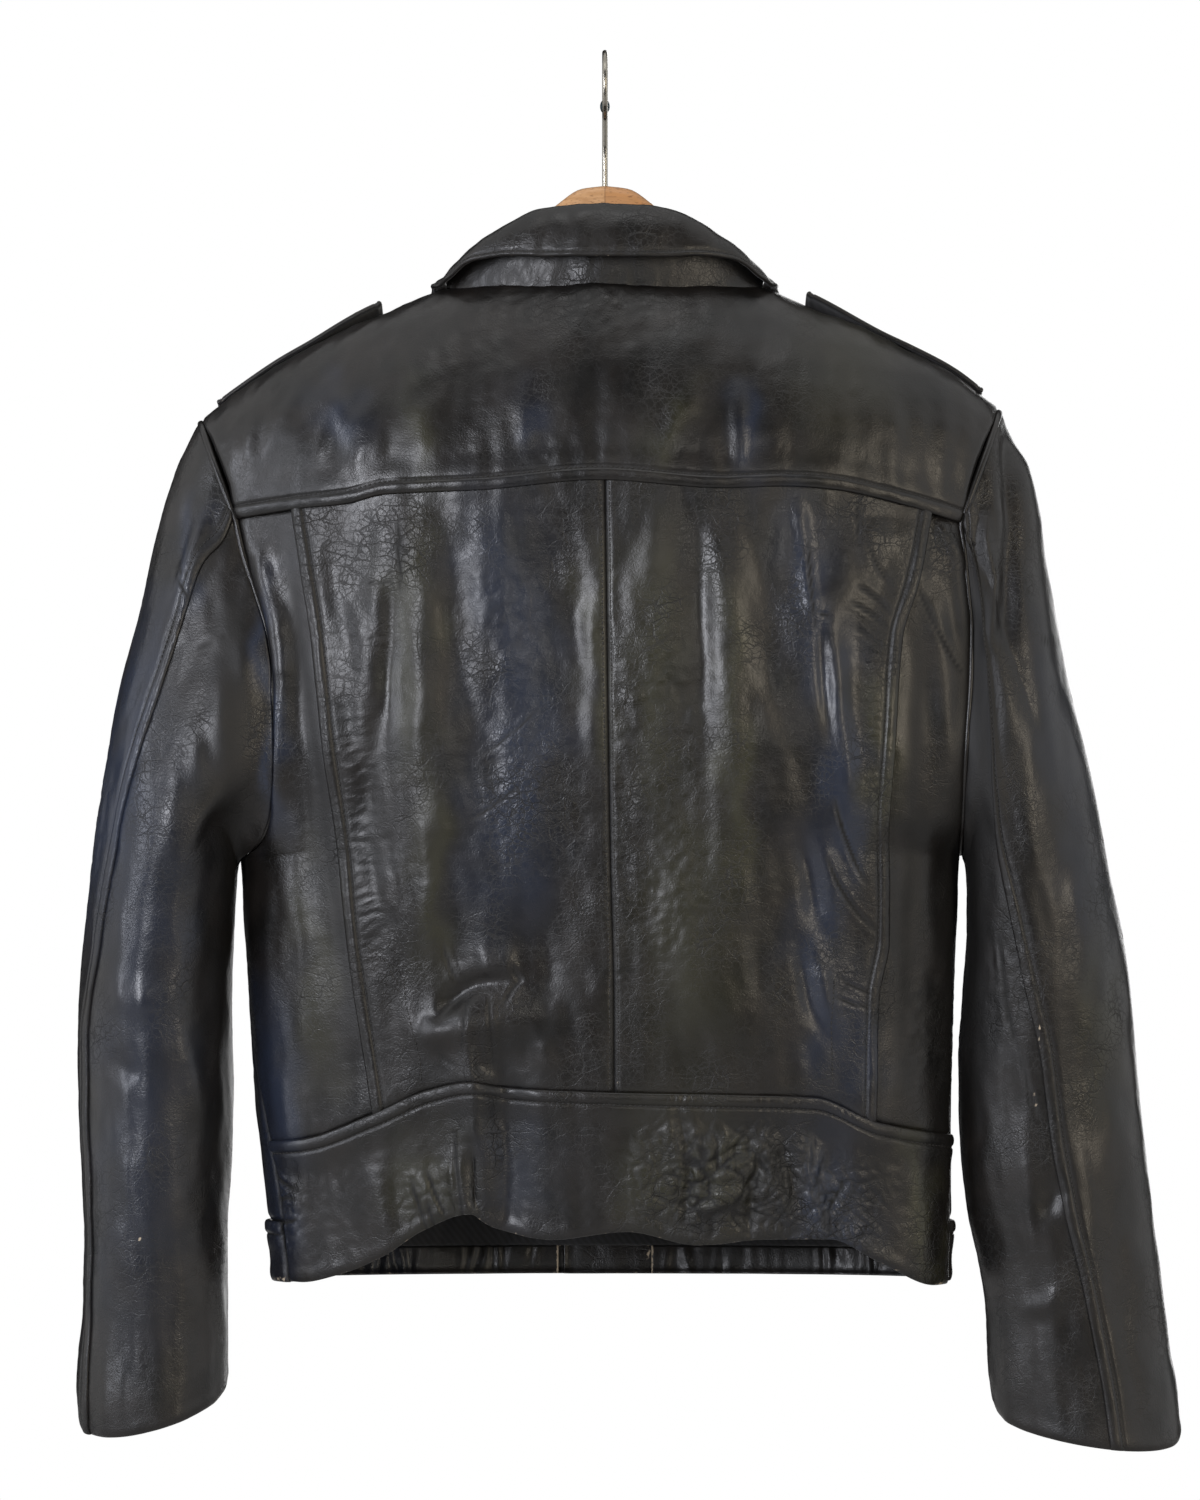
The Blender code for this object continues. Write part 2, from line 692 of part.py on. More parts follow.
def sleeveKnots(side):
    table = sleeveSections[side]
    centres = np.stack([table["outerX"] + table["innerX"], table["outerZ"] + table["innerZ"]]) / 2
    gaps = np.hypot(*np.diff(centres, axis=1))
    return np.concatenate([[0], np.cumsum(gaps)]) / gaps.sum()


def sleevePoint(side, along, turn):
    # Along runs from the armhole to the cuff, turn from the outer edge round the back.
    knots, table = sleeveKnots(side), sleeveSections[side]

    def tube(where):
        ox, oz, ix, iz, deep = (
            curve(where, knots, table[name]) for name in ("outerX", "outerZ", "innerX", "innerZ", "depth")
        )
        share = (1 - np.cos(turn)) / 2
        return np.stack([mix(ox, ix, share), -deep * np.sin(turn), mix(oz, iz, share)], -1)

    shift = armholePoint(side, turn) - tube(np.zeros_like(along))
    reach = mix(0.3, 0.07, ease(-np.cos(turn), 0.2, 0.9))
    point = tube(along) + shift * (1 - ease(along, 0, reach))[..., None]
    point[..., 0] += side * seamGap * (1 - ease(along, 0, 0.1))
    point[..., 2] -= cuffDrop[side] * np.maximum(np.sin(turn), 0) ** 0.7 * ease(along, 0.8, 1)
    return point


def buildSleeve(side, name):
    rows = [0, 0.025, 0.055, 0.095, 0.155, 0.23, 0.32, 0.42, 0.52, 0.62, 0.72, 0.82, 0.92, 1]
    over, under = armholeTurns(side)
    foot = over[-1]

    def backSeam(down):
        return np.arccos(1 - 2 * curve(down, sleeveKnots(side), sleeveSections[side]["seam"]))

    def build(label, turns, isTop):
        first, last = turns[0], turns[-1]
        across = (turns - first) / (last - first)

        def turnOf(across, down):
            back = mix(foot, backSeam(down), ease(down, 0, 0.05))
            start, end = (over[0], back) if isTop else (back, under[-1])
            return mix(start, end, across)

        def surface(across, down):
            return sleevePoint(side, down, turnOf(across, down))

        def normalOf(across, down):
            turn, along, step = turnOf(across, down), down, 1e-3
            aside = sleevePoint(side, along, turn + step) - sleevePoint(side, along, turn - step)
            lower = np.minimum(along + step, 1)
            ahead = sleevePoint(side, lower, turn) - sleevePoint(side, np.maximum(along - step, 0), turn)
            normal = unit(np.cross(aside, ahead)) * side
            tip, pit = sleevePoint(side, np.zeros(2), np.array([0, math.pi]))
            spoke = unit(armholePoint(side, turn) - (tip + pit) / 2)
            return unit(mix(spoke, normal, ease(down, 0, 0.06)[..., None]))

        addWall("sleeve_" + name + label, surface, across, rows, hide, normalOf=normalOf, gap=2 * seamGap)

    build("_top", over, True)
    build("_under", under, False)


def buildCollar():
    def base(turn, scale):
        x, level = neckline(turn, scale)
        return bodyPoint(angleOn(x, level), level)

    def foldLine(turn):
        share = np.abs(turn)
        point = base(turn, 1.0)
        upper = read(collar, share, "fold", "share")
        flat = ease(share, 0.4, 0.6)[..., None]
        x, level = neckline(turn)
        lean = outward(angleOn(x, level), level)
        up = unit(mix(np.array([0.0, 0.0, 1.0]), lean, flat))
        return point + up * upper[..., None]

    def edgeLine(turn):
        share = np.abs(turn)
        scale = read(collar, share, "scale", "share")
        x, level = neckline(turn, scale)
        lean = outward(angleOn(x, level), level)
        flat = ease(share, 0.35, 0.5)[..., None]
        up = unit(mix(np.array([0.0, 0.0, 1.0]), lean, flat))
        return base(turn, scale) + up * read(collar, share, "edge", "share")[..., None]

    def stand(across, down):
        turn = mix(-standEnd, standEnd, across)
        foot = base(turn, 1.0) + np.array([0, 0, seamGap])
        top = foldLine(turn) - np.array([0, 0, doubled + 4 * seamGap])
        return mix(top, foot, down[..., None])

    def fall(across, down):
        turn = mix(-collarEnd, collarEnd, across)
        start, end = foldLine(turn), edgeLine(turn)
        shoulder = end.copy()
        shoulder[..., 2] = mix(start, end, 0.25)[..., 2]
        shoulder = mix(start, shoulder, 0.75)
        t = down[..., None]
        return start * (1 - t) ** 2 + shoulder * 2 * t * (1 - t) + end * t * t

    addWall("collar_stand", stand, 16, 2, hide, away=(0, 0, -0.13))
    addWall("collar_fall", fall, 32, 4, hide, thickness=doubled, away=(0, 0, -0.2))


def strapSheet(side, lift):
    neckX, tipX = strapEnds[side]

    def surface(across, down):
        x = mix(neckX, tipX, across)
        level = strapLevel + strapWidth * down
        angle = angleOn(x, level)
        rise = lift + strapLoose * (1 - ease(across, 0, 0.5))
        return bodyPoint(angle, level) + outward(angle, level) * rise[..., None]

    return surface


def buildStrap(side, name):
    sheet = strapSheet(side, doubled + 2 * seamGap)
    addWall("epaulette_" + name, sheet, 9, 4, hide, thickness=doubled, away=(side * 0.18, 0, -0.35))
    across, down = np.array([strapStudShare]), np.array([0.5])
    addStud("strap_stud_" + name, sheet(across, down)[0], slopeNormal(sheet, across, down)[0] * side)


def addStud(name, seat, facing):
    # A domed press stud turned from its profile, its foot a seam's gap above the leather.
    corners = [(studRadius * math.cos(a), studHeight * math.sin(a)) for a in np.radians([90, 60, 35, 12])]
    profile = [(0, 0, studHeight)] + [(r, 0, h) for r, h in corners[1:]]
    profile += [(studRadius, 0, 0.0005), (studRadius, 0, 0), (0, 0, 0)]
    mesh = bpy.data.meshes.new(name)
    mesh.from_pydata(profile, [(i, i + 1) for i in range(len(profile) - 1)], [])
    stud = addObject(name, mesh, steel)
    screw = stud.modifiers.new("turn", "SCREW")
    screw.steps = 12
    screw.render_steps = 12
    screw.use_merge_vertices = True
    screw.merge_threshold = 0.00005
    stud.location = seat + facing * 2 * seamGap
    stud.rotation_mode = "QUATERNION"
    stud.rotation_quaternion = Vector(facing).to_track_quat("Z", "Y")


def buildStuds():
    for number, level in enumerate(studLevels, 1):
        level = np.array([level])
        angle = angleOn(np.array([studX]), level)
        seat = bodyPoint(angle, level)[0] + np.array([0, frontLap, 0])
        addStud(f"stud_{number}", seat, outward(angle, level)[0])


def buildInside():
    # What shows inside the front under the back hem: a facing along the hem, the lining over it.
    topLevel = 4 - facingHeight / frontBandHeight
    for side, name in ((-1, "left"), (1, "right")):

        def sunk(angle, level):
            return -leather - 3 * seamGap - 0.002 * ease(np.abs(angle), 0.6, 1.2)

        sheet, normalOf = bodySheet(at(side * facingEdgeX), border(side), topLevel, 4.0, sunk)
        addWall("front_facing_" + name, sheet, frontColumns(), 1, hide, normalOf=normalOf)

    def lined(angle, level):
        return -leather - 3 * seamGap - 0.005 * ease(np.abs(angle), 0.4, 1.0)

    liningTop = 2 + (yokeSeam["z"][5] - liningTopZ) / (yokeSeam["z"][5] - frontHemZ - frontBandHeight)
    sheet, normalOf = bodySheet(border(-0.9), border(0.9), liningTop, topLevel, lined)
    addWall("front_lining", sheet, 20, 2, blackCloth, thickness=liningCloth, normalOf=normalOf)


def woodSection(x):
    # Upper edge, height and half thickness of the hanger at x.
    free = read(woodTop, np.abs(x), "z", "x")
    seat = read(ridge, x, "z", "x") - leather - woodClear
    top = np.where(np.abs(x) > neckSide, np.minimum(free, seat), free)
    tall = mix(*woodTall, ease(np.abs(x), 0.02, woodReach))
    end = np.sqrt(np.clip(1 - (np.clip(np.abs(x) - woodReach + 0.012, 0, 1) / 0.0125) ** 2, 0.02, 1))
    return top, tall, end


def buildHanger():
    xs = np.concatenate([np.linspace(-woodReach, -0.1, 9), np.linspace(-0.085, 0.085, 15)])
    xs = np.concatenate([xs, np.linspace(0.1, woodReach, 9)])
    around = 12
    turn = np.arange(around) * 2 * math.pi / around
    points = []
    for x in xs:
        top, tall, end = woodSection(x)
        high = top - tall / 2 + tall / 2 * end * power(np.cos(turn), 0.8)
        wide = woodHalfWidth * end * power(np.sin(turn), 0.8)
        points += [(x, y, z) for y, z in zip(wide, high)]
    number = np.arange(len(points)).reshape(len(xs), around)
    along = np.roll(number, -1, axis=1)
    quads = np.stack([number[:-1], number[1:], along[1:], along[:-1]], -1).reshape(-1, 4).tolist()
    mesh = bpy.data.meshes.new("hanger_wood")
    mesh.from_pydata(points, [], quads + [number[0].tolist(), number[-1][::-1].tolist()])
    mesh.shade_smooth()
    mesh.set_sharp_from_angle(angle=math.radians(50))
    addObject("hanger_wood", mesh, beech)


def buildHook():
    # From the wood up the shank, round the bend and down to the tip in front.
    centre = hookTopZ - bendRadius
    path = [(0.0, woodTopZ + seamGap), (0.0, -0.066), (0.0, -0.058)]
    for degrees in np.linspace(245, -18, 22):
        a = math.radians(degrees)
        path.append((bendRadius * math.cos(a), centre + bendRadius * math.sin(a)))
    path[2] = (-0.0012, -0.0545)
    wire = bpy.data.curves.new("hanger_hook", "CURVE")
    wire.dimensions = "3D"
    wire.bevel_depth = wireRadius
    wire.bevel_resolution = 2
    wire.use_fill_caps = True
    spline = wire.splines.new("POLY")
    spline.points.add(len(path) - 1)
    for point, (y, z) in zip(spline.points, path):
        point.co = (0, y, z, 1)
    hook = bpy.data.objects.new("hanger_hook", wire)
    wire.materials.append(steel)
    jacket.objects.link(hook)
    end, before = np.array(path[-1]), np.array(path[-2])
    ahead = (end - before) / np.linalg.norm(end - before)
    tip = end + ahead * (seamGap + tipHalfLength)
    bm = bmesh.new()
    bmesh.ops.create_uvsphere(bm, u_segments=16, v_segments=10, radius=tipRadius)
    bmesh.ops.scale(bm, vec=(1, 1, tipHalfLength / tipRadius), verts=bm.verts)
    mesh = bpy.data.meshes.new("hook_tip")
    bm.to_mesh(mesh)
    bm.free()
    mesh.shade_smooth()
    knob = addObject("hook_tip", mesh, darkSteel)
    knob.location = (0, tip[0], tip[1])
    knob.rotation_euler = (math.atan2(ahead[0], ahead[1]) * -1, 0, 0)


for old in list(bpy.data.objects):
    bpy.data.objects.remove(old)
jacket = bpy.data.collections.new("worn_leather_jacket")
bpy.context.scene.collection.children.link(jacket)
hide = addMaterial("black_cowhide", (0.020, 0.018, 0.017), 0.42)
blackCloth = addMaterial("lining_cloth", (0.008, 0.008, 0.009), 0.8)
beech = addMaterial("beech_wood", (0.55, 0.33, 0.17), 0.55)
steel = addMaterial("plated_steel", (0.62, 0.58, 0.50), 0.25, 1.0)
darkSteel = addMaterial("dark_tip", (0.03, 0.04, 0.045), 0.35, 0.6)
buildYoke()
buildBack()
for side, name in ((-1, "left"), (1, "right")):
    buildFront(side, name)
    buildSleeve(side, name)
    buildStrap(side, name)
buildCollar()
buildStuds()
buildInside()
buildHanger()
buildHook()
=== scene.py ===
import math

import bpy
import numpy as np
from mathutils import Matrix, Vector


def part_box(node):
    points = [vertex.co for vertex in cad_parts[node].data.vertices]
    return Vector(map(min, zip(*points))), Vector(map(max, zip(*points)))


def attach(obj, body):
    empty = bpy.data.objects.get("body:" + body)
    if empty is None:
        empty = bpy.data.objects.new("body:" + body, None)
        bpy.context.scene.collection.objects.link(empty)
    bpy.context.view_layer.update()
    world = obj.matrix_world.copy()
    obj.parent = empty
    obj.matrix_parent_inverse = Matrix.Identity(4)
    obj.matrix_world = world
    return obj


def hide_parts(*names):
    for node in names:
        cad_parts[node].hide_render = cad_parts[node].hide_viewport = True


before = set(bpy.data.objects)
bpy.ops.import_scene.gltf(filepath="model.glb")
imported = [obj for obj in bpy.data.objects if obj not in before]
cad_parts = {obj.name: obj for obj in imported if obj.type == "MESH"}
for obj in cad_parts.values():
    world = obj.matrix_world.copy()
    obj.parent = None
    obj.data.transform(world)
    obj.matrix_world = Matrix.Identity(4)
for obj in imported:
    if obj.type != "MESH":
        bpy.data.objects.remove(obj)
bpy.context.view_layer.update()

print("frame loaded:", len(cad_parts), "nodes")

# A black leather jacket on its hanger, back towards -Y. Metres, +Z up, the origin inside the hook's bend.
# The back, the fronts and the yoke share one chart: an angle around the body and a level down it.

leather = 0.0014  # one thickness of the hide
doubled = 0.0026  # collar fall and shoulder straps, two layers
liningCloth = 0.001
seamGap = 0.0003  # between neighbouring pieces
boxy = 2.4  # power of the body's rings, 2 is an ellipse
shoulderPower = 1.8  # power of the arch over the shoulder
underarmZ = -0.484
sideReading = 0.21  # x at which the height of a level is read for the sides of the body
neckHalfWidth = 0.0955
neckBack = 0.375  # how far the neck hole runs back and forward from the ridge, as shares of the arch
neckFront = 0.71
shoulderSeam = 1.25  # front edge of the yoke on the arch, 1 is the ridge
yokeNeckShare = 0.43  # share of the yoke's half width whose upper edge is the neckline
pleatTuck = 0.015  # how far the side backs run under the panels' edges
pleatStep = leather + 3 * seamGap  # and how deep they lie there
frontEdge = {-1: 0.027, 1: -0.0252}  # each front runs past the middle to here
frontLap = leather + 3 * seamGap
frontHemZ = -0.7405
frontBandHeight = 0.0365
facingHeight = 0.017
liningTopZ = -0.63
collarEnd = 0.88  # share of the half neckline at which the collar ends
standEnd = 0.46  # and at which the stand goes out of sight under it
sleeveSeamKnots = 5  # the front seam of the sleeve stands this many rows of the front below the yoke
strapWidth = 0.34  # share of the arch
cuffDrop = {-1: 0.017, 1: 0.014}  # how much lower the back of a cuff hangs
wireRadius = 0.0017
bendRadius = 0.0205
hookTopZ = wireRadius
woodTopZ = -0.0788
woodHalfWidth = 0.0065
woodReach = 0.212
woodClear = 0.0009  # under the leather at the ridge, whose arch falls away at the wood's sides
neckSide = 0.09  # the wood is under the yoke beyond this x


def columns(names, *rows):
    # The named columns of a short table, as arrays.
    return dict(zip(names.split(), np.array(rows, float).T))


def fieldLines(names, *rows):
    # A table written in millimetres, but for its columns that are a side or a share of strength.
    unscaled = {"side": 1, "strength": 1, "cool": 1, "warm": 1}
    return {name: values / unscaled.get(name, 1000) for name, values in columns(names, *rows).items()}


# Rings of the body: reach to the wearer's left and right, depth to the back and front.
rings = columns(
    "z left right back front",
    (-0.745, 0.2020, 0.2092, 0.061, 0.060),
    (-0.700, 0.2040, 0.2098, 0.065, 0.066),
    (-0.640, 0.2100, 0.2088, 0.071, 0.073),
    (-0.575, 0.2152, 0.2105, 0.077, 0.080),
    (-0.520, 0.2180, 0.2128, 0.081, 0.085),
    (-0.484, 0.2195, 0.2146, 0.083, 0.087),
    (-0.459, 0.2265, 0.2360, 0.084, 0.088),
    (-0.415, 0.2450, 0.2600, 0.085, 0.088),
    (-0.350, 0.2400, 0.2580, 0.083, 0.086),
    (-0.280, 0.2415, 0.2345, 0.080, 0.083),
)
# Armhole seam, seen from behind.
armhole = columns(
    "z left right",
    (-0.484, 0.2195, 0.2146),
    (-0.479, 0.2105, 0.2144),
    (-0.470, 0.2035, 0.2145),
    (-0.455, 0.1998, 0.2150),
    (-0.415, 0.1986, 0.2166),
    (-0.375, 0.1992, 0.2192),
    (-0.350, 0.2024, 0.2196),
    (-0.320, 0.2110, 0.2172),
    (-0.300, 0.2172, 0.2156),
    (-0.282, 0.2214, 0.2130),
)
# Degrees from the middle of the back to the side seams.
sideSeam = columns(
    "z left right",
    (-0.745, 69, 84),
    (-0.690, 72, 86),
    (-0.640, 78, 88),
    (-0.590, 88, 90),
    (-0.484, 90, 90),
)
ridge = columns(
    "x z",
    (-0.2442, -0.2208),
    (-0.2202, -0.2028),
    (-0.1926, -0.1842),
    (-0.1620, -0.1680),
    (-0.1290, -0.1542),
    (-0.0955, -0.1400),
    (-0.0500, -0.1205),
    (0.0000, -0.1115),
    (0.0500, -0.1205),
    (0.0955, -0.1395),
    (0.1290, -0.1540),
    (0.1632, -0.1686),
    (0.1866, -0.1794),
    (0.2100, -0.1920),
    (0.2382, -0.2142),
)
yokeSeam = columns(
    "x z",
    (-0.2214, -0.2815),
    (-0.1836, -0.2760),
    (-0.1542, -0.2730),
    (-0.1314, -0.2676),
    (-0.0750, -0.2652),
    (-0.0030, -0.2592),
    (0.0690, -0.2640),
    (0.1080, -0.2628),
    (0.1362, -0.2646),
    (0.1788, -0.2736),
    (0.2130, -0.2838),
)
waistSeam = columns(
    "x z",
    (-0.2050, -0.6558),
    (-0.1800, -0.6528),
    (-0.1398, -0.6378),
    (-0.1056, -0.6228),
    (-0.0800, -0.6178),
    (-0.0606, -0.6210),
    (0.0048, -0.6240),
    (0.0864, -0.6258),
    (0.1254, -0.6276),
    (0.1626, -0.6426),
    (0.2090, -0.6520),
)
backHem = columns(
    "x z",
    (-0.2030, -0.7390),
    (-0.1830, -0.7398),
    (-0.1608, -0.7350),
    (-0.1326, -0.7230),
    (-0.1086, -0.7074),
    (-0.0816, -0.6975),
    (-0.0650, -0.7060),
    (-0.0324, -0.7128),
    (0.0132, -0.7080),
    (0.0552, -0.7160),
    (0.0972, -0.7128),
    (0.1344, -0.7128),
    (0.1638, -0.7266),
    (0.1998, -0.7422),
    (0.2092, -0.7420),
)
centreSeam = columns("z x", (-0.63, 0.0054), (-0.57, 0.0052), (-0.48, 0.0030), (-0.26, 0.0))
pleatEdge = columns(
    "z left right",
    (-0.642, -0.1384, 0.1624),
    (-0.570, -0.1495, 0.1640),
    (-0.534, -0.1545, 0.1700),
    (-0.480, -0.1600, 0.1692),
    (-0.414, -0.1692, 0.1734),
    (-0.354, -0.1755, 0.1775),
    (-0.320, -0.1805, 0.1872),
    (-0.276, -0.1880, 0.1958),
)
# Largest folds of the back: from one end to the other, half width, movement outwards.
folds = columns(
    "x z x2 z2 width out",
    (-0.078, -0.585, -0.076, -0.705, 0.011, 0.0075),
    (-0.058, -0.600, -0.063, -0.710, 0.012, -0.0060),
    (-0.100, -0.585, -0.050, -0.580, 0.012, 0.0045),
    (0.118, -0.330, 0.152, -0.510, 0.020, 0.0040),
    (0.165, -0.285, 0.130, -0.345, 0.014, 0.0035),
    (-0.110, -0.290, -0.100, -0.520, 0.026, 0.0040),
    (-0.035, -0.300, -0.040, -0.560, 0.030, -0.0035),
    (0.075, -0.300, 0.080, -0.590, 0.026, 0.0035),
    (0.045, -0.650, 0.090, -0.690, 0.014, 0.0040),
    (0.125, -0.640, 0.150, -0.700, 0.013, -0.0035),
)
# Sleeve sections from armhole to cuff: outer and inner edge seen from behind, half depth,
# and the share of the width from the outer edge to the back seam.
sleeveSections = {
    -1: columns(
        "outerX outerZ innerX innerZ depth seam",
        (-0.2442, -0.2208, -0.2195, -0.4840, 0.056, 0.25),
        (-0.2646, -0.2700, -0.2222, -0.4905, 0.064, 0.20),
        (-0.2808, -0.3336, -0.2230, -0.4980, 0.070, 0.21),
        (-0.2958, -0.3948, -0.2232, -0.5070, 0.072, 0.22),
        (-0.3060, -0.4560, -0.2236, -0.5220, 0.071, 0.19),
        (-0.3150, -0.5280, -0.2244, -0.5500, 0.068, 0.15),
        (-0.3180, -0.5940, -0.2256, -0.5940, 0.064, 0.08),
        (-0.3174, -0.6504, -0.2262, -0.6504, 0.060, 0.08),
        (-0.3150, -0.7140, -0.2274, -0.7110, 0.056, 0.08),
        (-0.3156, -0.7560, -0.2274, -0.7560, 0.053, 0.08),
        (-0.3198, -0.8020, -0.2280, -0.7985, 0.051, 0.10),
        (-0.3168, -0.8225, -0.2286, -0.8010, 0.050, 0.08),
    ),
    1: columns(
        "outerX outerZ innerX innerZ depth seam",
        (0.2382, -0.2142, 0.2146, -0.4840, 0.056, 0.28),
        (0.2556, -0.2532, 0.2172, -0.4905, 0.063, 0.55),
        (0.2700, -0.3222, 0.2182, -0.4990, 0.066, 0.70),
        (0.2832, -0.3960, 0.2184, -0.5130, 0.064, 0.74),
        (0.3000, -0.4722, 0.2180, -0.5400, 0.060, 0.70),
        (0.3126, -0.5322, 0.2158, -0.5820, 0.055, 0.63),
        (0.3192, -0.5832, 0.2144, -0.6180, 0.051, 0.56),
        (0.3246, -0.6342, 0.2146, -0.6600, 0.048, 0.53),
        (0.3300, -0.6984, 0.2190, -0.6990, 0.045, 0.49),
        (0.3354, -0.7428, 0.2268, -0.7320, 0.043, 0.46),
        (0.3402, -0.7806, 0.2304, -0.7650, 0.042, 0.42),
        (0.3444, -0.8010, 0.2316, -0.7938, 0.041, 0.40),
        (0.3480, -0.8330, 0.2352, -0.8160, 0.040, 0.395),
    ),
}
# Collar by share of the half neckline: height of the fold line over the neck seam, scale of
# the neckline at the fall's edge, and that edge's height over the shoulder.
collar = columns(
    "share fold scale edge",
    (0.00, 0.0475, 1.40, 0.0385),
    (0.12, 0.0460, 1.36, 0.0370),
    (0.22, 0.0330, 1.29, 0.0300),
    (0.32, 0.0185, 1.18, 0.0130),
    (0.42, 0.0075, 1.10, 0.0040),
    (0.52, 0.0040, 1.09, 0.0036),
    (0.65, 0.0048, 1.22, 0.0048),
    (0.88, 0.0062, 1.36, 0.0060),
)
# Upper edge of the hanger where it rises through the neck.
woodTop = columns(
    "x z",
    (0.000, -0.0788),
    (0.014, -0.0806),
    (0.028, -0.0894),
    (0.045, -0.1055),
    (0.065, -0.1262),
    (0.085, -0.1440),
    (0.104, -0.1535),
    (0.125, -0.1590),
)


def curve(at, knots, values):
    # Smooth curve through a table's rows that doesn't swing past them.
    at = np.clip(at, knots[0], knots[-1])
    step = np.diff(knots)
    slope = np.diff(values) / step
    product = slope[1:] * slope[:-1]
    inner = np.where(product > 0, 2 * product / np.where(product > 0, slope[1:] + slope[:-1], 1), 0)
    tangent = np.concatenate([slope[:1], inner, slope[-1:]])
    row = np.clip(np.searchsorted(knots, at, side="right") - 1, 0, len(step) - 1)
    t = (at - knots[row]) / step[row]
    start = (1 + 2 * t) * (1 - t) ** 2 * values[row] + t * (1 - t) ** 2 * step[row] * tangent[row]
    end = t * t * (3 - 2 * t) * values[row + 1] + t * t * (t - 1) * step[row] * tangent[row + 1]
    return start + end


def read(table, at, column, key="z"):
    # One column of a table, smooth between its rows.
    return curve(at, table[key], table[column])


def readSides(table, z, left):
    return np.where(left, read(table, z, "left"), read(table, z, "right"))


def ease(at, low, high):
    # From 0 at low to 1 at high, soft at both ends.
    t = np.clip((at - low) / (high - low), 0, 1)
    return t * t * (3 - 2 * t)


def mix(a, b, t):
    return a + (b - a) * t


def unit(vectors):
    return vectors / np.maximum(np.linalg.norm(vectors, axis=-1, keepdims=True), 1e-12)


def runAlong(path):
    # The distance along a path of each of its points.
    return np.concatenate([[0], np.cumsum(np.linalg.norm(np.diff(path, axis=0), axis=1))])


def softRidge(d):
    # 1 on the line, and next to nothing three widths away from it.
    return np.exp(-(d**2))


def power(value, exponent):
    # A power that keeps the sign.
    return np.sign(value) * np.abs(value) ** exponent


def ringPoint(angle, z):
    # The ring at height z is a superellipse, 0 at the middle of the back and pi at the front.
    reach = readSides(rings, z, np.sin(angle) < 0)
    depth = np.where(np.cos(angle) > 0, read(rings, z, "back"), read(rings, z, "front"))
    x = reach * power(np.sin(angle), 2 / boxy)
    y = -depth * power(np.cos(angle), 2 / boxy)
    normal = np.stack([power(x / reach, boxy - 1) / reach, power(y / depth, boxy - 1) / depth], -1)
    return x, y, unit(normal)


def angleAtX(x, z):
    reach = readSides(rings, z, x < 0)
    return np.sign(x) * np.arcsin(np.clip(np.abs(x) / reach, 0, 1) ** (boxy / 2))


def borderAngle(z, left):
    # Where the back ends on its ring: at the armhole above, at the side seam below.
    seam = np.radians(readSides(sideSeam, z, left))
    edge = readSides(armhole, z, left) / readSides(rings, z, left)
    return np.where(z > underarmZ, np.arcsin(np.clip(edge, 0, 1) ** (boxy / 2)), seam)


def eachRow(table, names):
    return zip(*(table[name] for name in names.split()))


def besideLine(x, z, a, b, c, d):
    # The length of the line from (a, b) to (c, d), and how far each place is along it and aside from it.
    length = math.hypot(c - a, d - b)
    along = ((x - a) * (c - a) + (z - b) * (d - b)) / length
    return length, along, ((x - a) * (d - b) - (z - b) * (c - a)) / length


foldPast, foldIn = 0.03, 0.02  # a fold fades from this far past its ends to this far within them


def foldHeight(x, z):
    # Each fold is a ridge or trough around its line, fading at both ends.
    total = np.zeros(np.broadcast(x, z).shape)
    for a, b, c, d, width, out in eachRow(folds, "x z x2 z2 width out"):
        length, along, aside = besideLine(x, z, a, b, c, d)
        ends = ease(along, -foldPast, foldIn) * (1 - ease(along, length - foldIn, length + foldPast))
        total += out * softRidge(aside / width) * ends
    return total


def levelHeight(level, x):
    # Height of each level: -2 back hem, -1 waist seam, 0 yoke seam, then the arch over the
    # shoulder with its ridge at 1, 2 its foot in front, 3 the front band's seam, 4 the front hem.
    yoke = read(yokeSeam, x, "z", "x")
    waist = read(waistSeam, x, "z", "x")
    hem = read(backHem, x, "z", "x")
    band = frontHemZ + frontBandHeight
    back = np.where(level > -1, mix(yoke, waist, -level), mix(waist, hem, -1 - level))
    front = np.where(level < 3, mix(yoke, band, level - 2), mix(band, frontHemZ, level - 3))
    return np.where(level < 1, back, front)


# A point's height and its x depend on each other: from the first height they settle in a few rounds.
firstHeight, rounds = -0.45, 8
foldsUpTo = 0.86  # share of the way to the armhole from which the folds die away
foldsFrom = 0.06  # level below the yoke seam at which they are whole


def ringPart(angle, level, folded):
    # Angle is 0 at the middle of the back, or of the front where the level is over 1.
    front = level > 1
    z = np.full(angle.shape, firstHeight)
    for _ in range(rounds):
        x, y, normal = ringPoint(np.where(front, math.pi - angle, angle), z)
        z = levelHeight(level, x)
    armholeFade = 1 - ease(np.abs(angle) / borderAngle(z, angle < 0), foldsUpTo, 1.0)
    out = foldHeight(x, z) * armholeFade * ease(-level, 0.0, foldsFrom) * folded
    return np.stack([x + normal[..., 0] * out, y + normal[..., 1] * out, z], -1)


def archRise(level):
    turn = np.clip(np.minimum(level, 2 - level), 0, 1) * math.pi / 2
    return np.sin(turn) ** (2 / shoulderPower), np.cos(turn) ** (2 / shoulderPower)


def sideReach(x):
    # Half widths of the shoulder at the yoke seam and at the ridge.
    low = np.where(x < 0, -yokeSeam["x"][0], yokeSeam["x"][-1])
    tip = np.where(x < 0, -ridge["x"][0], ridge["x"][-1])
    return low, tip


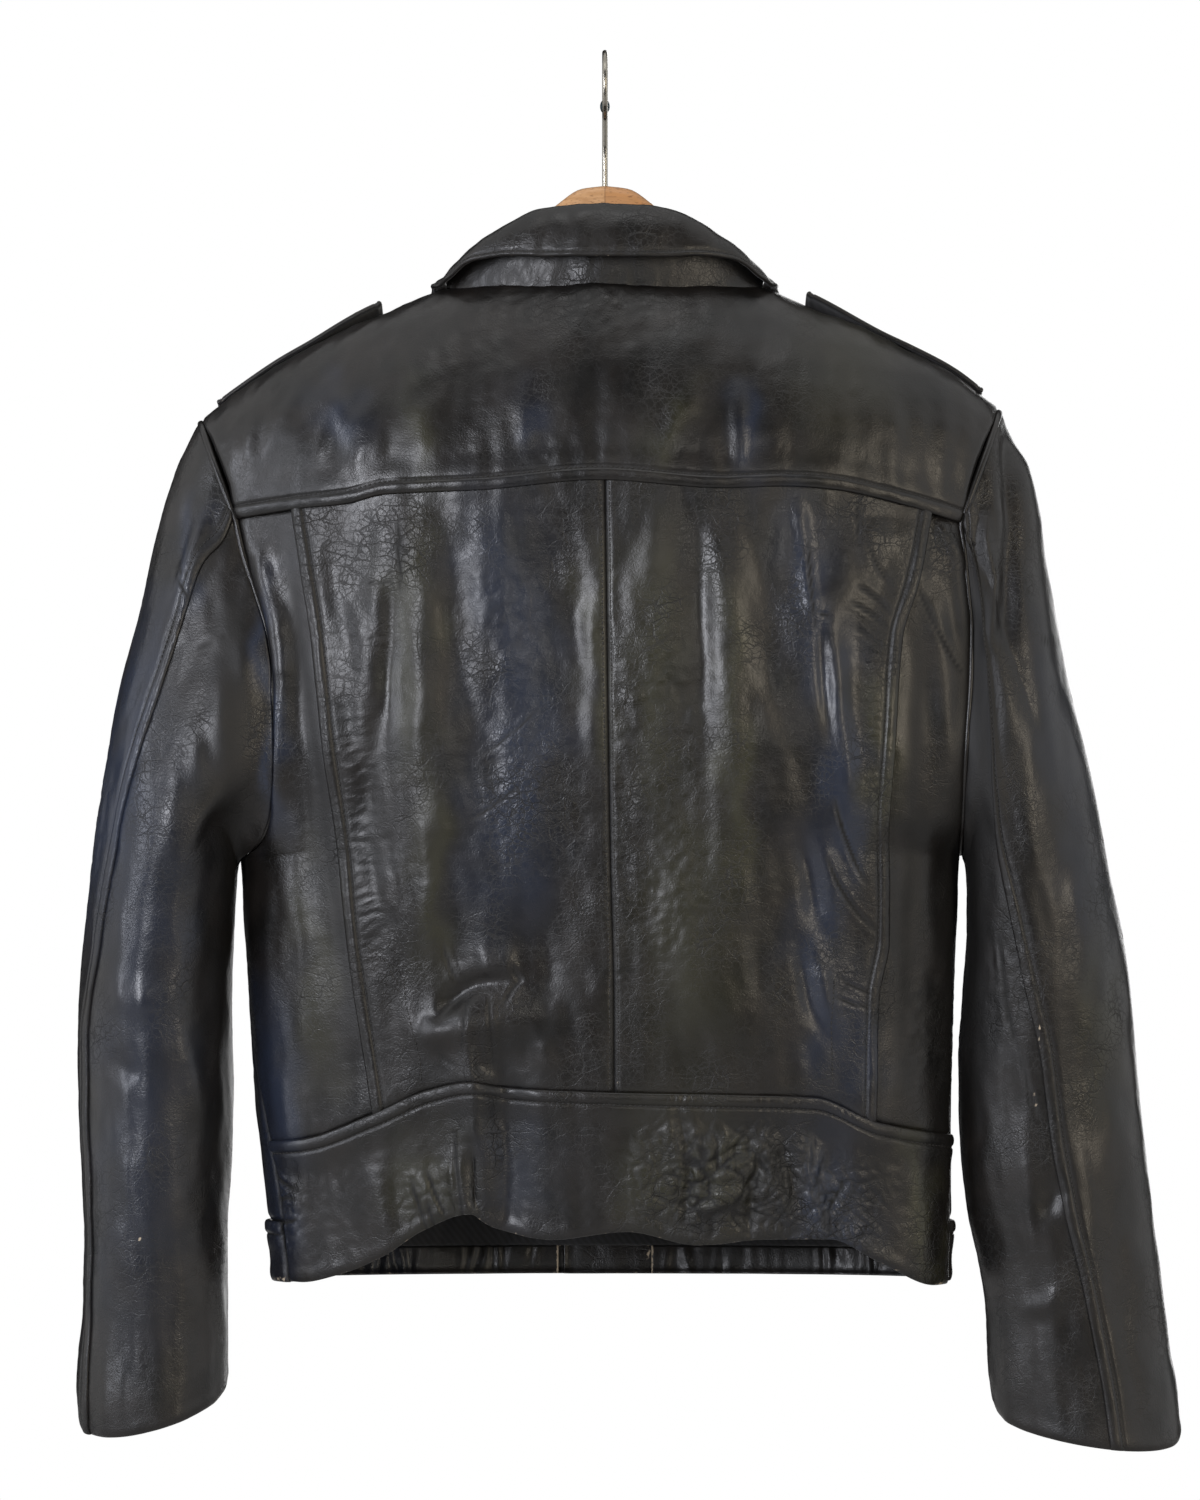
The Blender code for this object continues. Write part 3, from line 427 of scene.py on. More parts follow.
def archPart(lowX, level):
    # The arch that rises from the yoke seam at lowX, over the ridge and down in front.
    rise, depth = archRise(level)
    low, tip = sideReach(lowX)
    x = mix(lowX, lowX / low * tip, rise)
    lowZ = read(yokeSeam, lowX, "z", "x")
    z = mix(lowZ, read(ridge, x, "z", "x"), rise)
    angle = angleAtX(lowX, lowZ)
    y = np.where(level < 1, ringPoint(angle, lowZ)[1], ringPoint(math.pi - angle, lowZ)[1])
    return np.stack([x, y * depth, z], -1)


def bodyPoint(angle, level):
    angle, level = np.broadcast_arrays(np.asarray(angle, float), np.asarray(level, float))
    onArch = (level > 0) & (level < 2)
    ring = ringPart(angle, np.where(onArch, 0, level), np.where(onArch, 0, 1))
    return np.where(onArch[..., None], archPart(ring[..., 0], level), ring)


def angleOn(x, level):
    # The angle that lies at x on a level.
    low, tip = sideReach(x)
    onArch = (level > 0) & (level < 2)
    ringX = np.where(onArch, x * low / mix(low, tip, archRise(level)[0]), x)
    return angleAtX(ringX, levelHeight(np.where(onArch, 0, level), ringX))


def edgeAngle(side, level):
    # The angle of the armhole or the side seam on a level.
    sideX = np.full(np.shape(level), np.sign(side) * sideReading)
    onArch = (level > 0) & (level < 2)
    z = levelHeight(np.where(onArch, 0, level), sideX)
    edge = borderAngle(z, sideX < 0)
    return side * np.where((z < underarmZ) & (level > 1), math.pi - edge, edge)


def outward(angle, level):
    step = 2e-3
    across = bodyPoint(angle + step, level) - bodyPoint(angle - step, level)
    along = bodyPoint(angle, level + step) - bodyPoint(angle, level - step)
    return unit(np.cross(across, along))


def neckline(turn, scale=1.0):
    # Around the neck hole, 0 at the back and 1 at the front: its x and its level.
    angle = turn * math.pi
    reach = np.where(np.cos(angle) > 0, neckBack, neckFront)
    return scale * neckHalfWidth * np.sin(angle), 1 - scale * reach * np.cos(angle)


# Turn of the neckline at which the yoke's front seam meets it.
seamTurn = math.acos(-(shoulderSeam - 1) / neckFront) / math.pi


def armholePoint(side, turn):
    # Around the armhole: 0 at the shoulder tip, a quarter turn at the back, half at the underarm.
    left = np.full(np.shape(turn), side < 0)
    low, tip = sideReach(np.where(left, -1.0, 1.0))
    tipZ = read(ridge, side * tip, "z", "x")
    lowZ = read(yokeSeam, side * low, "z", "x")
    z = mix(tipZ, underarmZ, (1 - np.cos(turn)) / 2)
    rise = np.clip((z - lowZ) / (tipZ - lowZ), 0, 1)
    onArch = z > lowZ
    x = np.where(onArch, mix(low, tip, rise), readSides(armhole, z, left))
    ringZ = np.where(onArch, lowZ, z)
    angle = angleAtX(side * np.where(onArch, low, x), ringZ)
    angle = np.where(np.sin(turn) < 0, math.pi - angle, angle)
    depth = (1 - rise**shoulderPower) ** (1 / shoulderPower)
    return np.stack([side * x, ringPoint(angle, ringZ)[1] * depth, z], -1)


def sleeveKnots(side):
    table = sleeveSections[side]
    centres = np.stack([table["outerX"] + table["innerX"], table["outerZ"] + table["innerZ"]]) / 2
    gaps = np.hypot(*np.diff(centres, axis=1))
    return np.concatenate([[0], np.cumsum(gaps)]) / gaps.sum()


# As shares of the sleeve's length: how far its section still follows the armhole, at the outer and at
# the inner edge, where the gap to the body ends, and where the cuff starts to hang lower behind.
sleeveFit = {"follows": (0.3, 0.07), "inner": (0.2, 0.9), "gapEnd": 0.1, "cuff": 0.8, "cuffPower": 0.7}


def sleevePoint(side, along, turn):
    # Along runs from the armhole to the cuff, turn from the outer edge round the back.
    knots, table = sleeveKnots(side), sleeveSections[side]

    def tube(where):
        ox, oz, ix, iz, deep = (
            curve(where, knots, table[name]) for name in ("outerX", "outerZ", "innerX", "innerZ", "depth")
        )
        share = (1 - np.cos(turn)) / 2
        return np.stack([mix(ox, ix, share), -deep * np.sin(turn), mix(oz, iz, share)], -1)

    shift = armholePoint(side, turn) - tube(np.zeros_like(along))
    reach = mix(*sleeveFit["follows"], ease(-np.cos(turn), *sleeveFit["inner"]))
    point = tube(along) + shift * (1 - ease(along, 0, reach))[..., None]
    point[..., 0] += side * seamGap * (1 - ease(along, 0, sleeveFit["gapEnd"]))
    behind = np.maximum(np.sin(turn), 0) ** sleeveFit["cuffPower"]
    point[..., 2] -= cuffDrop[side] * behind * ease(along, sleeveFit["cuff"], 1)
    return point


def lumps(points, size, seed, waves=14):
    # Soft unevenness: a sum of sine waves in fixed random directions, about 1 at its highest.
    rng = np.random.default_rng(seed)
    total = np.zeros(points.shape[:-1])
    for _ in range(waves):
        direction = unit(rng.normal(size=3)) * rng.uniform(0.6, 1.6) * 2 * math.pi / np.array(size)
        total += np.sin(points @ direction + rng.uniform(0, 2 * math.pi))
    return total / math.sqrt(waves)


# Mixes a cell's place into numbers that look scattered.
cellMix = np.array([[127.1, 269.5, 113.5], [311.7, 183.3, 271.9], [74.7, 246.1, 124.6]])
cellScatter = 43758.5
cellStray = 0.45  # how far a cell's middle strays, in cells


def cellEdges(points, size, seed):
    # Distance between the nearest and the second nearest of scattered cell middles, in cells.
    at = points / np.array(size)
    cell = np.floor(at)
    nearest = np.full(at.shape[:-1], 9.0)
    second = nearest.copy()
    for step in np.ndindex(3, 3, 3):
        corner = cell + np.array(step) - 1
        shake = np.sin(corner @ cellMix + seed)
        away = np.linalg.norm(corner + 0.5 + cellStray * np.sin(shake * cellScatter) - at, axis=-1)
        second = np.minimum(second, np.maximum(nearest, away))
        nearest = np.minimum(nearest, away)
    return second - nearest


taperEnd, taperRise = 0.35, 2.6  # a line's strength at its ends, and how fast it grows from there


def lineField(points, table, value, profile):
    # Adds up lines seen from behind: each runs from (x, z) to (x2, z2), bowed sideways by its bend.
    x, z = points[..., 0], points[..., 2]
    total = np.zeros(x.shape)
    low, high = (x.min(), z.min()), (x.max(), z.max())
    for a, b, c, d, bend, width, amount in eachRow(table, "x z x2 z2 bend width " + value):
        reach = 3 * width + abs(bend)
        if amount == 0 or min(a, c) - reach > high[0] or max(a, c) + reach < low[0]:
            continue
        if min(b, d) - reach > high[1] or max(b, d) + reach < low[1]:
            continue
        length, along, aside = besideLine(x, z, a, b, c, d)
        share = np.clip(along / length, 0, 1)
        aside = aside - bend * 4 * share * (1 - share)
        past = np.maximum(np.maximum(-along, along - length), 0)
        taper = np.minimum(1, taperEnd + taperRise * np.minimum(share, 1 - share))
        total += amount * profile(np.hypot(aside, past) / width) * taper
    return total


bankHeight, bankPlace = 0.55, 2.1  # beside a crease, in its depth and its widths


def sharpCrease(d):
    # A narrow valley with the hide pushed up beside it.
    return -softRidge(d) + bankHeight * softRidge(d - bankPlace)


def evenShares(surface, axis, pitch, rows, farRows):
    # Shares of a sheet's width or length at an even pitch, with given rows by its two edges.
    fine = np.linspace(0, 1, 321)
    lines = []
    for t in (0.12, 0.5, 0.88):
        other = np.full_like(fine, t)
        line = surface(fine, other) if axis == 0 else surface(other, fine)
        lines.append(runAlong(line))
    run = np.mean(lines, axis=0)
    rows, farRows = np.array(rows), np.array(farRows)
    first, last = rows[-1] + pitch * 0.7, run[-1] - farRows[-1] - pitch * 0.7
    middle = np.linspace(first, last, max(2, int(round((last - first) / pitch)) + 1))
    return np.interp(np.concatenate([rows, middle, run[-1] - farRows[::-1]]), run, fine)


# How each kind of edge is sewn, in metres: the rows of the sheet beside it, where its stitches run, how
# far it is pushed in or out, its puff and groove, and the shares of wear and of painted shade in its gap.
edgeKinds = {
    "seam": {
        "rows": (0, 0.0005, 0.0011, 0.0018, 0.0027, 0.004),
        "drop": 0.0016, "reach": 0.0019, "wear": 0.2, "paintedShade": 0.9,
    },
    "lap": {
        "rows": (
            0, 0.0004, 0.001, 0.0018, 0.0028, 0.004, 0.0053, 0.0065, 0.0072, 0.0078, 0.0084, 0.0092, 0.0105,
        ),
        "stitch": 0.0078, "rise": 0.0015, "puff": 0.0009, "groove": 0.0009, "wear": 0.16,
    },
    "tuck": {
        "rows": (0, 0.001, 0.002, 0.003, 0.0042, 0.0056),
        "drop": 0.0017, "reach": 0.0032, "wear": 0.0, "paintedShade": 1.0,
    },
    "hem": {
        "rows": (0, 0.0004, 0.001, 0.002, 0.0032, 0.005),
        "drop": 0.0006, "reach": 0.0018, "puff": 0.0004, "wear": 0.28,
    },
    "plain": {"rows": (0, 0.0006, 0.0015, 0.003), "wear": 0.1, "paintedShade": 0.5},
    "rubbed": {"rows": (0, 0.0006, 0.0012, 0.002, 0.0032), "wear": 0.62},
    "stitched": {
        "rows": (0, 0.0005, 0.0012, 0.002, 0.0027, 0.0033, 0.004, 0.0052),
        "stitch": 0.0033, "rise": 0.0, "puff": 0.0004, "groove": 0.0006, "wear": 0.22,
    },
}
# Widths over which each of them fades, in metres, and how dark the painted shade in a stitch row is.
fades = {
    "fold": 0.016, "groove": 0.0009, "hem": 0.004, "paintedShade": 0.0011, "stitchPaintedShade": 0.0008, "wear": 0.0017,
}
hemPuff = 0.005  # from the hem to its puff
stitchPaintedShade = 0.55
lapStitch = edgeKinds["lap"]["stitch"]
edgeStitch = edgeKinds["stitched"]["stitch"]
edgeNames = ("near", "far", "top", "bottom")


def foldedHeight(sewn, distance):
    # The rise of a turned-in edge, falling off past its stitches, and the puff before them.
    row = sewn["stitch"]
    puff = sewn["puff"] * np.sin(math.pi * np.clip(distance / row, 0, 1)) ** 0.8
    return sewn["rise"] * (1 - ease(distance, row, row + fades["fold"])) + puff


def edgeHeight(kind, distance):
    # Height of the sheet by one edge: a seam's drop, or a fold's height with a groove at its stitches.
    sewn = edgeKinds[kind]
    height = -sewn.get("drop", 0) * softRidge(distance / sewn.get("reach", 1))
    if "stitch" in sewn:
        groove = sewn["groove"] * softRidge((distance - sewn["stitch"]) / fades["groove"])
        height = height + foldedHeight(sewn, distance) - groove
    elif "puff" in sewn:
        height = height + sewn["puff"] * softRidge((distance - hemPuff) / fades["hem"])
    return height


def edgePaintedShade(kind, distance):
    # Painted shade by one edge and along its stitches.
    sewn = edgeKinds[kind]
    paintedShade = sewn.get("paintedShade", 0) * softRidge(distance / fades["paintedShade"])
    if "stitch" not in sewn:
        return paintedShade
    return np.maximum(paintedShade, stitchPaintedShade * softRidge((distance - sewn["stitch"]) / fades["stitchPaintedShade"]))


def edgeFolded(kind, distance):
    # A lapped edge is turned in, so it is thicker there by as much as it stands up.
    sewn = edgeKinds[kind]
    return foldedHeight(sewn, distance) if "stitch" in sewn else np.zeros(distance.shape)


def addMesh(name, points, faces, material):
    mesh = bpy.data.meshes.new(name)
    mesh.from_pydata(np.asarray(points).reshape(-1, 3).tolist(), [], [tuple(face) for face in faces])
    mesh.shade_smooth()
    mesh.materials.append(material)
    piece = bpy.data.objects.new(name, mesh)
    bpy.context.scene.collection.objects.link(piece)
    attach(piece, "root")
    return piece


def tubeFaces(number):
    # The quads between the rows of a grid of numbered points whose rows close on themselves.
    beside = np.roll(number, -1, axis=1)
    return np.stack([number[:-1], beside[:-1], beside[1:], number[1:]], -1).reshape(-1, 4)


def addField(piece, name, values):
    field = piece.data.attributes.new(name, "FLOAT", "POINT")
    field.data.foreach_set("value", np.asarray(values, np.float32).ravel())


def sheetGrid(surface, pitch, kinds, away):
    # An even grid of the surface: its points, its normals away from a place inside the jacket, which
    # way its faces turn, and each point's distance from the four edges.
    near, far, top, bottom = (edgeKinds[kinds[edge]]["rows"] for edge in edgeNames)
    u, v = evenShares(surface, 0, pitch, near, far), evenShares(surface, 1, pitch, top, bottom)
    base = surface(*np.meshgrid(u, v, indexing="ij"))
    normal = unit(np.cross(np.gradient(base, u, axis=0), np.gradient(base, v, axis=1)))
    facing = 1 if (normal * (base - np.array(away))).sum() > 0 else -1
    run = np.linalg.norm(np.diff(base, axis=0), axis=-1)
    fall = np.linalg.norm(np.diff(base, axis=1), axis=-1)
    row, column = np.zeros((1, len(v))), np.zeros((len(u), 1))
    distance = {
        "near": np.concatenate([row, np.cumsum(run, axis=0)]),
        "far": np.concatenate([np.cumsum(run[::-1], axis=0)[::-1], row]),
        "top": np.concatenate([column, np.cumsum(fall, axis=1)], axis=1),
        "bottom": np.concatenate([np.cumsum(fall[:, ::-1], axis=1)[:, ::-1], column], axis=1),
    }
    return base, normal * facing, facing, distance


def wallFaces(rows, cols):
    # Outer face, inner face and the rim between them, over points numbered row by row.
    number = np.arange(rows * cols).reshape(rows, cols)
    quads = [number[:-1, :-1], number[1:, :-1], number[1:, 1:], number[:-1, 1:]]
    quads = np.stack(quads, -1).reshape(-1, 4)
    loop = np.concatenate([number[:, 0], number[-1, 1:], number[-2::-1, -1], number[0, -2:0:-1]])
    after = np.roll(loop, -1)
    rim = np.stack([after, loop, loop + number.size, after + number.size], -1)
    return np.concatenate([quads, quads[:, ::-1] + number.size, rim]), len(quads)


rimStart, rimDrop = 0.7, 0.38  # where a wall's rim starts to round off and by how much, in thicknesses


def buildSheet(name, surface, look, material, relief=None, away=(0, 0, 0)):
    # A wall of leather: the outer face is the surface moved out along its normal by the relief and
    # by its sewn edges, the inner face lies a thickness inside it, and the rim between is rounded.
    kinds = dict(zip(edgeNames, look["edges"]))
    base, normal, facing, distance = sheetGrid(surface, look["pitch"], kinds, away)
    thickness = look.get("thickness", leather)
    folded, rounded, wear, paintedShade = (np.zeros(base.shape[:-1]) for _ in range(4))
    height = relief(base) if relief else np.zeros(base.shape[:-1])
    for edge, kind in kinds.items():
        height = height + edgeHeight(kind, distance[edge])
        folded = folded + edgeFolded(kind, distance[edge])
        corner = np.clip(1 - distance[edge] / (thickness * rimStart), 0, 1)
        rounded = np.maximum(rounded, thickness * rimDrop * (1 - np.sqrt(1 - corner**2)))
        wear = np.maximum(wear, edgeKinds[kind]["wear"] * softRidge(distance[edge] / fades["wear"]))
        paintedShade = np.maximum(paintedShade, edgePaintedShade(kind, distance[edge]))
    outer = base + normal * (height - rounded)[..., None]
    inner = base + normal * (height - thickness - folded + rounded)[..., None]
    faces, outside = wallFaces(*height.shape)
    faces = faces if facing > 0 else faces[:, ::-1]
    points = np.concatenate([outer.reshape(-1, 3), inner.reshape(-1, 3)])
    piece = addMesh(name, points, faces.tolist(), material)
    if look.get("lined", True):
        piece.data.materials.append(lining)
        inside = np.zeros(len(faces), np.int32)
        inside[outside : 2 * outside] = 1
        piece.data.polygons.foreach_set("material_index", inside)
    # Shares of the painted bluish and olive sheens.
    fields = paintedSheenShares(outer)
    fields["wear"] = np.clip(wear + scuffs(outer), 0, 1)
    # Painted shade: by seams, tucks and stitch rows, in creases and crack lines, in the armpits and beside
    # the pleats.
    fields["paintedShade"] = np.clip(paintedShade + paintedShadeField(outer), 0, 1)
    fields["grain"] = grained(outer, look.get("grain", 0.6))
    for field, values in fields.items():
        addField(piece, field, np.concatenate([values.ravel(), values.ravel()]))
    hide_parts(name)
    return {"outer": outer, "normal": normal, "distance": distance}


def rowAt(sheet, edge, inset):
    # The line on a sheet that keeps one distance from an edge: its points and normals.
    distance, outer, normal = sheet["distance"][edge], sheet["outer"], sheet["normal"]
    if edge in ("top", "bottom"):
        distance, outer, normal = distance.T, outer.transpose(1, 0, 2), normal.transpose(1, 0, 2)
    if edge in ("far", "bottom"):
        distance, outer, normal = distance[::-1], outer[::-1], normal[::-1]
    place = np.clip((distance < inset).sum(0), 1, len(distance) - 1)
    line = np.arange(distance.shape[1])
    low, high = distance[place - 1, line], distance[place, line]
    t = np.clip((inset - low) / np.maximum(high - low, 1e-9), 0, 1)[:, None]
    return tuple(mix(part[place - 1, line], part[place, line], t) for part in (outer, normal))


def nearestOn(sheet, xs, zs):
    # The sheet's own points nearest to places given by x and z, with their normals.
    flat = sheet["outer"].reshape(-1, 3)
    normals = sheet["normal"].reshape(-1, 3)
    away = (flat[None, :, 0] - xs[:, None]) ** 2 + (flat[None, :, 2] - zs[:, None]) ** 2
    best = away.argmin(1)
    points = flat[best].copy()
    points[:, 0], points[:, 2] = xs, zs
    return points, normals[best]


def follow(path, run, places):
    # The points of a path at distances along it.
    return np.stack([np.interp(places, run, column) for column in path.T], -1)


# A stitch's rings by share of its length, with their girth, and how flat it is pulled.
threadLook = {
    "pitch": 0.0031, "length": 0.0023, "thick": 0.00042, "sides": 5, "raise": 0.00012,
    "stations": (-0.42, 0.0, 0.42), "girth": (0.8, 1.0, 0.8), "flat": 0.7,
}


def addStitches(name, lines, material, look=threadLook):
    # Each stitch is a small grain of thread along the line, thick in the middle, sunk at both ends.
    ring = np.arange(look["sides"]) * 2 * math.pi / look["sides"]
    stations = np.array(look["stations"]) * look["length"]
    girth = np.array(look["girth"])[:, None] * look["thick"]
    points, count = [], 0
    for path, normals in lines:
        run = runAlong(path)
        places = np.arange(look["pitch"] / 2, run[-1], look["pitch"])
        middle = follow(path, run, places)
        up = unit(follow(normals, run, places))
        way = unit(follow(path, run, places + 0.001) - follow(path, run, places - 0.001))
        side = unit(np.cross(up, way))
        body = (
            middle[:, None, None]
            + up[:, None, None] * (look["raise"] + girth * np.sin(ring) * look["flat"])[..., None]
            + way[:, None, None] * stations[:, None, None]
            + side[:, None, None] * (girth * np.cos(ring))[..., None]
        )
        tips = middle[:, None] + way[:, None] * np.array([-0.5, 0.5])[:, None] * look["length"]
        points.append(np.concatenate([body.reshape(len(places), -1, 3), tips], axis=1))
        count += len(places)
    number = np.arange(len(stations) * len(ring)).reshape(len(stations), len(ring))
    beside = np.roll(number, -1, axis=1)
    low, high = np.full_like(number[0], number.size), np.full_like(number[0], number.size + 1)
    tips = [np.stack([low, beside[0], number[0]], -1), np.stack([high, number[-1], beside[-1]], -1)]
    first = (np.arange(count) * (number.size + 2))[:, None, None]
    faces = (tubeFaces(number) + first).reshape(-1, 4).tolist()
    faces += (np.concatenate(tips) + first).reshape(-1, 3).tolist()
    addMesh(name, np.concatenate([part.reshape(-1, 3) for part in points]), faces, material)


sideBlend = 0.014  # the back's field gives way to the front's from this y to the same behind


def fromBehind(points, field, frontShare=0.6):
    # A field placed on the back; the front gets the same one mirrored and weaker.
    behind = 1 - ease(points[..., 1], -sideBlend, sideBlend)
    total = field(points) * behind if behind.any() else np.zeros(behind.shape)
    if (behind < 1).any():
        total = total + frontShare * field(points * np.array([-1.0, 1.0, 1.0])) * (1 - behind)
    return total


# Broad soft ridges (out over 0) and valleys of the hanging leather.
softFolds = fieldLines(
    "x z x2 z2 bend width out",
    # yoke
    (-171, -200, -145, -236, 0, 10, 1.3),
    (-145, -233, -150, -258, 0, 8, 0.8),
    (-113, -206, -106, -253, 1, 11, 1.1),
    (-50, -208, -44, -240, 0, 8, 0.9),
    (52, -204, 33, -246, 1, 7, 0.9),
    (79, -204, 83, -254, 1, 5.5, 1.2),
    (96, -222, 100, -252, 0, 8, 0.6),
    (-192, -212, -194, -238, 0, 7, 0.8),
    (160, -200, 176, -235, 0, 12, 0.6),
    # left half of the back
    (-122, -305, -133, -430, 2, 7, -1.3),
    (-136, -300, -147, -425, 0, 10, 1),
    (-69, -272, -45, -400, 4, 21, 2),
    (-45, -390, -55, -530, 0, 23, 2.2),
    (-90, -282, -87, -430, 0, 11, -1.3),
    (-108, -330, -114, -430, 0, 9, 1),
    (-8, -300, -5, -450, 0, 5.5, 0.7),
    (-105, -440, -112, -545, 0, 12, 1.2),
    (-88, -500, -90, -560, 0, 12, -1.4),
    (-100, -578, -56, -556, -6, 5.5, -2.6),
    (-78, -548, -52, -545, 4, 12, 2.2),
    (-112, -590, -88, -588, 0, 8, 1.6),
    (-77.5, -586, -70, -616, 1, 7, -2.8),
    (-57, -590, -56, -620, 0, 7, 1.2),
    (-35, -590, -28, -612, 3, 6, 0.8),
    # right half of the back
    (27, -282, 30, -400, 1, 15, 1.3),
    (55, -290, 60, -430, 0, 9, -1.1),
    (70, -300, 78, -440, 1, 8, 0.9),
    (93, -290, 97, -395, 0, 9.5, -0.9),
    (115, -274, 119, -306, 0, 4.5, 1.4),
    (119, -306, 125, -340, 1, 5, 1.6),
    (129, -338, 134, -412, 1, 4.2, -1.6),
    (136, -352, 140, -392, 0, 5.5, 1.7),
    (138, -390, 148, -456, 0, 6.5, 1.7),
    (103, -400, 110, -470, 1, 16, 1.2),
    (160, -370, 164, -440, 0, 8, 0.9),
    (116, -470, 128, -528, -2, 6.5, -1.8),
    (126, -470, 137, -522, -2, 6, 1.5),
    (116, -536, 130, -588, 2, 6, -1.8),
    (128, -546, 134, -582, 1, 6, 1.3),
    (94, -510, 98, -590, 3, 13, -1.3),
    (52, -470, 56, -600, 4, 20, 1.2),
    # side pieces
    (-207.6, -300, -197, -344, 1, 6, 2),
    (-197, -340, -193, -380, 0, 6.5, 2.1),
    (-193, -376, -198, -470, 2, 7, 2.1),
    (-182, -330, -176, -520, 0, 6, -1),
    (-184, -480, -176, -620, 0, 12, 1.4),
    (198.6, -280, 214, -308, 1, 4, 1.6),
    (210, -296, 216.5, -356, 1, 4, 1.4),
    (196, -320, 206, -420, 0, 7, 1.2),
    (194, -460, 200, -560, 0, 9, 1),
    # left sleeve
    (-237, -270, -254, -328, 1, 5, 2.2),
    (-247, -262, -268, -330, 1, 6, -1.2),
    (-232, -372, -226, -420, 1, 7, 1.4),
    (-262, -440, -242, -500, 2, 14, 2),
    (-296, -560, -268, -570, 4, 10, 1.4),
    (-298, -600, -276, -616, 3, 8, -1.4),
    (-252, -590, -240, -650, 0, 8, 1.8),
    (-286, -650, -270, -720, 3, 12, 1.4),
    (-296, -700, -280, -740, 0, 9, 1.2),
    (-262, -700, -258, -790, 0, 12, -1),
    # right sleeve
    (243, -226, 245, -285, 0, 5.5, -3.6),
    (245, -280, 240, -350, 0, 6, -3.6),
    (254, -232, 260, -300, 0, 6, 1.6),
    (228, -282, 234.5, -318, 2, 3.2, 2.6),
    (234.5, -316, 229, -360, 0, 3.2, 1.8),
    (258, -330, 262, -430, 0, 10, 1.6),
    (281, -380, 300, -520, 2, 12, 1.3),
    (268, -470, 282, -560, 2, 9, -1),
    (300, -545, 294, -600, 0, 8, 1.2),
    (250, -650, 262, -730, 3, 11, 1.8),
    (272, -680, 262, -700, 0, 7, -1.4),
    (252, -756, 276, -742, 3, 6, 1.2),
    (318, -650, 330, -790, 0, 10, 1),
    # waistband
    (-80, -656, -74, -700, 1, 4.8, -3.4),
    (-91, -664, -86, -694, 1, 5.5, 2.2),
    (-66, -650, -64, -700, 0, 7, 1.4),
    (-112, -676, -97, -702, 1, 5, 1.2),
    (-140, -668, -128, -716, 1, 8, 1),
    (-186, -682, -184, -730, 0, 7, 1.2),
    (44, -636, 52, -664, 1, 3.5, -2.2),
    (52, -664, 48, -698, 1, 4, -2.2),
    (62, -672, 82, -656, -1, 4, -2.2),
    (56, -680, 86, -678, 1, 3.8, -1.9),
    (69, -676, 68, -702, 0, 12, 2),
    (70, -662, 74, -668, 0, 6, 1.4),
    (92, -668, 86, -708, 1, 4.2, -2.8),
    (94, -652, 112, -702, 2, 5, 2),
    (104, -650, 124, -706, 2, 4.5, -1.7),
    (120, -660, 132, -714, 2, 5, 1.5),
    (134, -660, 142, -716, 1, 4.5, -1.2),
    (160, -664, 166, -730, 0, 6, -1),
    (186, -664, 192, -736, 0, 8, 1.4),
    (22, -650, 20, -700, 0, 9, 1),
)

# Sharp creases with raised lips.
sharpCreases = fieldLines(
    "x z x2 z2 bend width depth",
    (-123, -283, -121.5, -326, 0.5, 1.2, 0.7),
    (-146, -320, -124, -318.5, 0.8, 0.9, 0.5),
    (-144, -353, -127, -352, 0.5, 0.9, 0.4),
    (121.5, -296, 125.6, -348, 1, 1.2, 0.7),
    (125.6, -338, 134, -341.5, -0.6, 1.2, 0.7),
    (150.5, -272, 151.2, -296, 0, 1.2, 0.8),
    (154, -291, 171.6, -325, 1, 1.1, 0.6),
    (151, -322, 170, -339, -1.5, 1.3, 0.8),
    (147, -332, 169, -350, -1.5, 1.1, 0.6),
    (148, -347, 168, -362, -1, 1, 0.5),
    (187, -322, 213, -374, 1.5, 1.3, 0.6),
    (137, -450, 156, -500, 2, 1.4, 0.8),
    (132.6, -484, 162.6, -529, 4, 1.3, 0.8),
    (140, -556, 160, -566, 1, 1.1, 0.6),
    (138, -568, 159, -574, 1, 1.1, 0.6),
    (-56, -548, -50, -557, 1, 1.2, 0.8),
    (-50, -557, -60, -572, 1.2, 1.2, 0.8),
    (-96, -536, -86, -560, 1.5, 1.3, 0.6),
    (-69, -567, -66, -612, 0.4, 1.1, 0.7),
    (-82, -566, -86, -604, 0.4, 1.1, 0.6),
    (-100, -600, -90, -608, 1, 1.2, 0.6),
    (-80, -462, -50, -440, 1, 1, 0.5),
    (-74, -424, -40, -396, 1.2, 0.9, 0.4),
    (10, -408, 26, -424, 1, 0.9, 0.4),
    (20, -362, 38, -352, 1, 0.9, 0.4),
    (-90, -648, -84, -704, 0.8, 1.3, 0.8),
    (-106, -672, -94, -700, 0.8, 1.2, 0.8),
    (-116, -676, -104, -712, 0.8, 1.2, 0.6),
    (-106, -690, -100, -712, 0.4, 1.1, 0.6),
    (-198, -676, -185, -684, 1.2, 1.2, 0.8),
    (-198, -692, -186, -690, -1.4, 1.2, 0.8),
    (-196, -704, -186, -702, 1, 1.2, 0.7),
    (-225, -352, -245, -360, 0.8, 1.1, 0.5),
    (-256, -318, -248, -330, 0.5, 1, 0.6),
    (-259, -308, -250, -316, 0.5, 1, 0.6),
    (260, -352, 272, -356, 0.6, 1, 0.4),
    (294, -503, 311, -506, 0.6, 1, 0.4),
    (248, -600, 260, -640, 1, 1.3, 0.6),
    (238, -560, 248, -600, 1, 1.3, 0.7),
    (236, -530, 243, -575, 1, 1.2, 0.6),
)

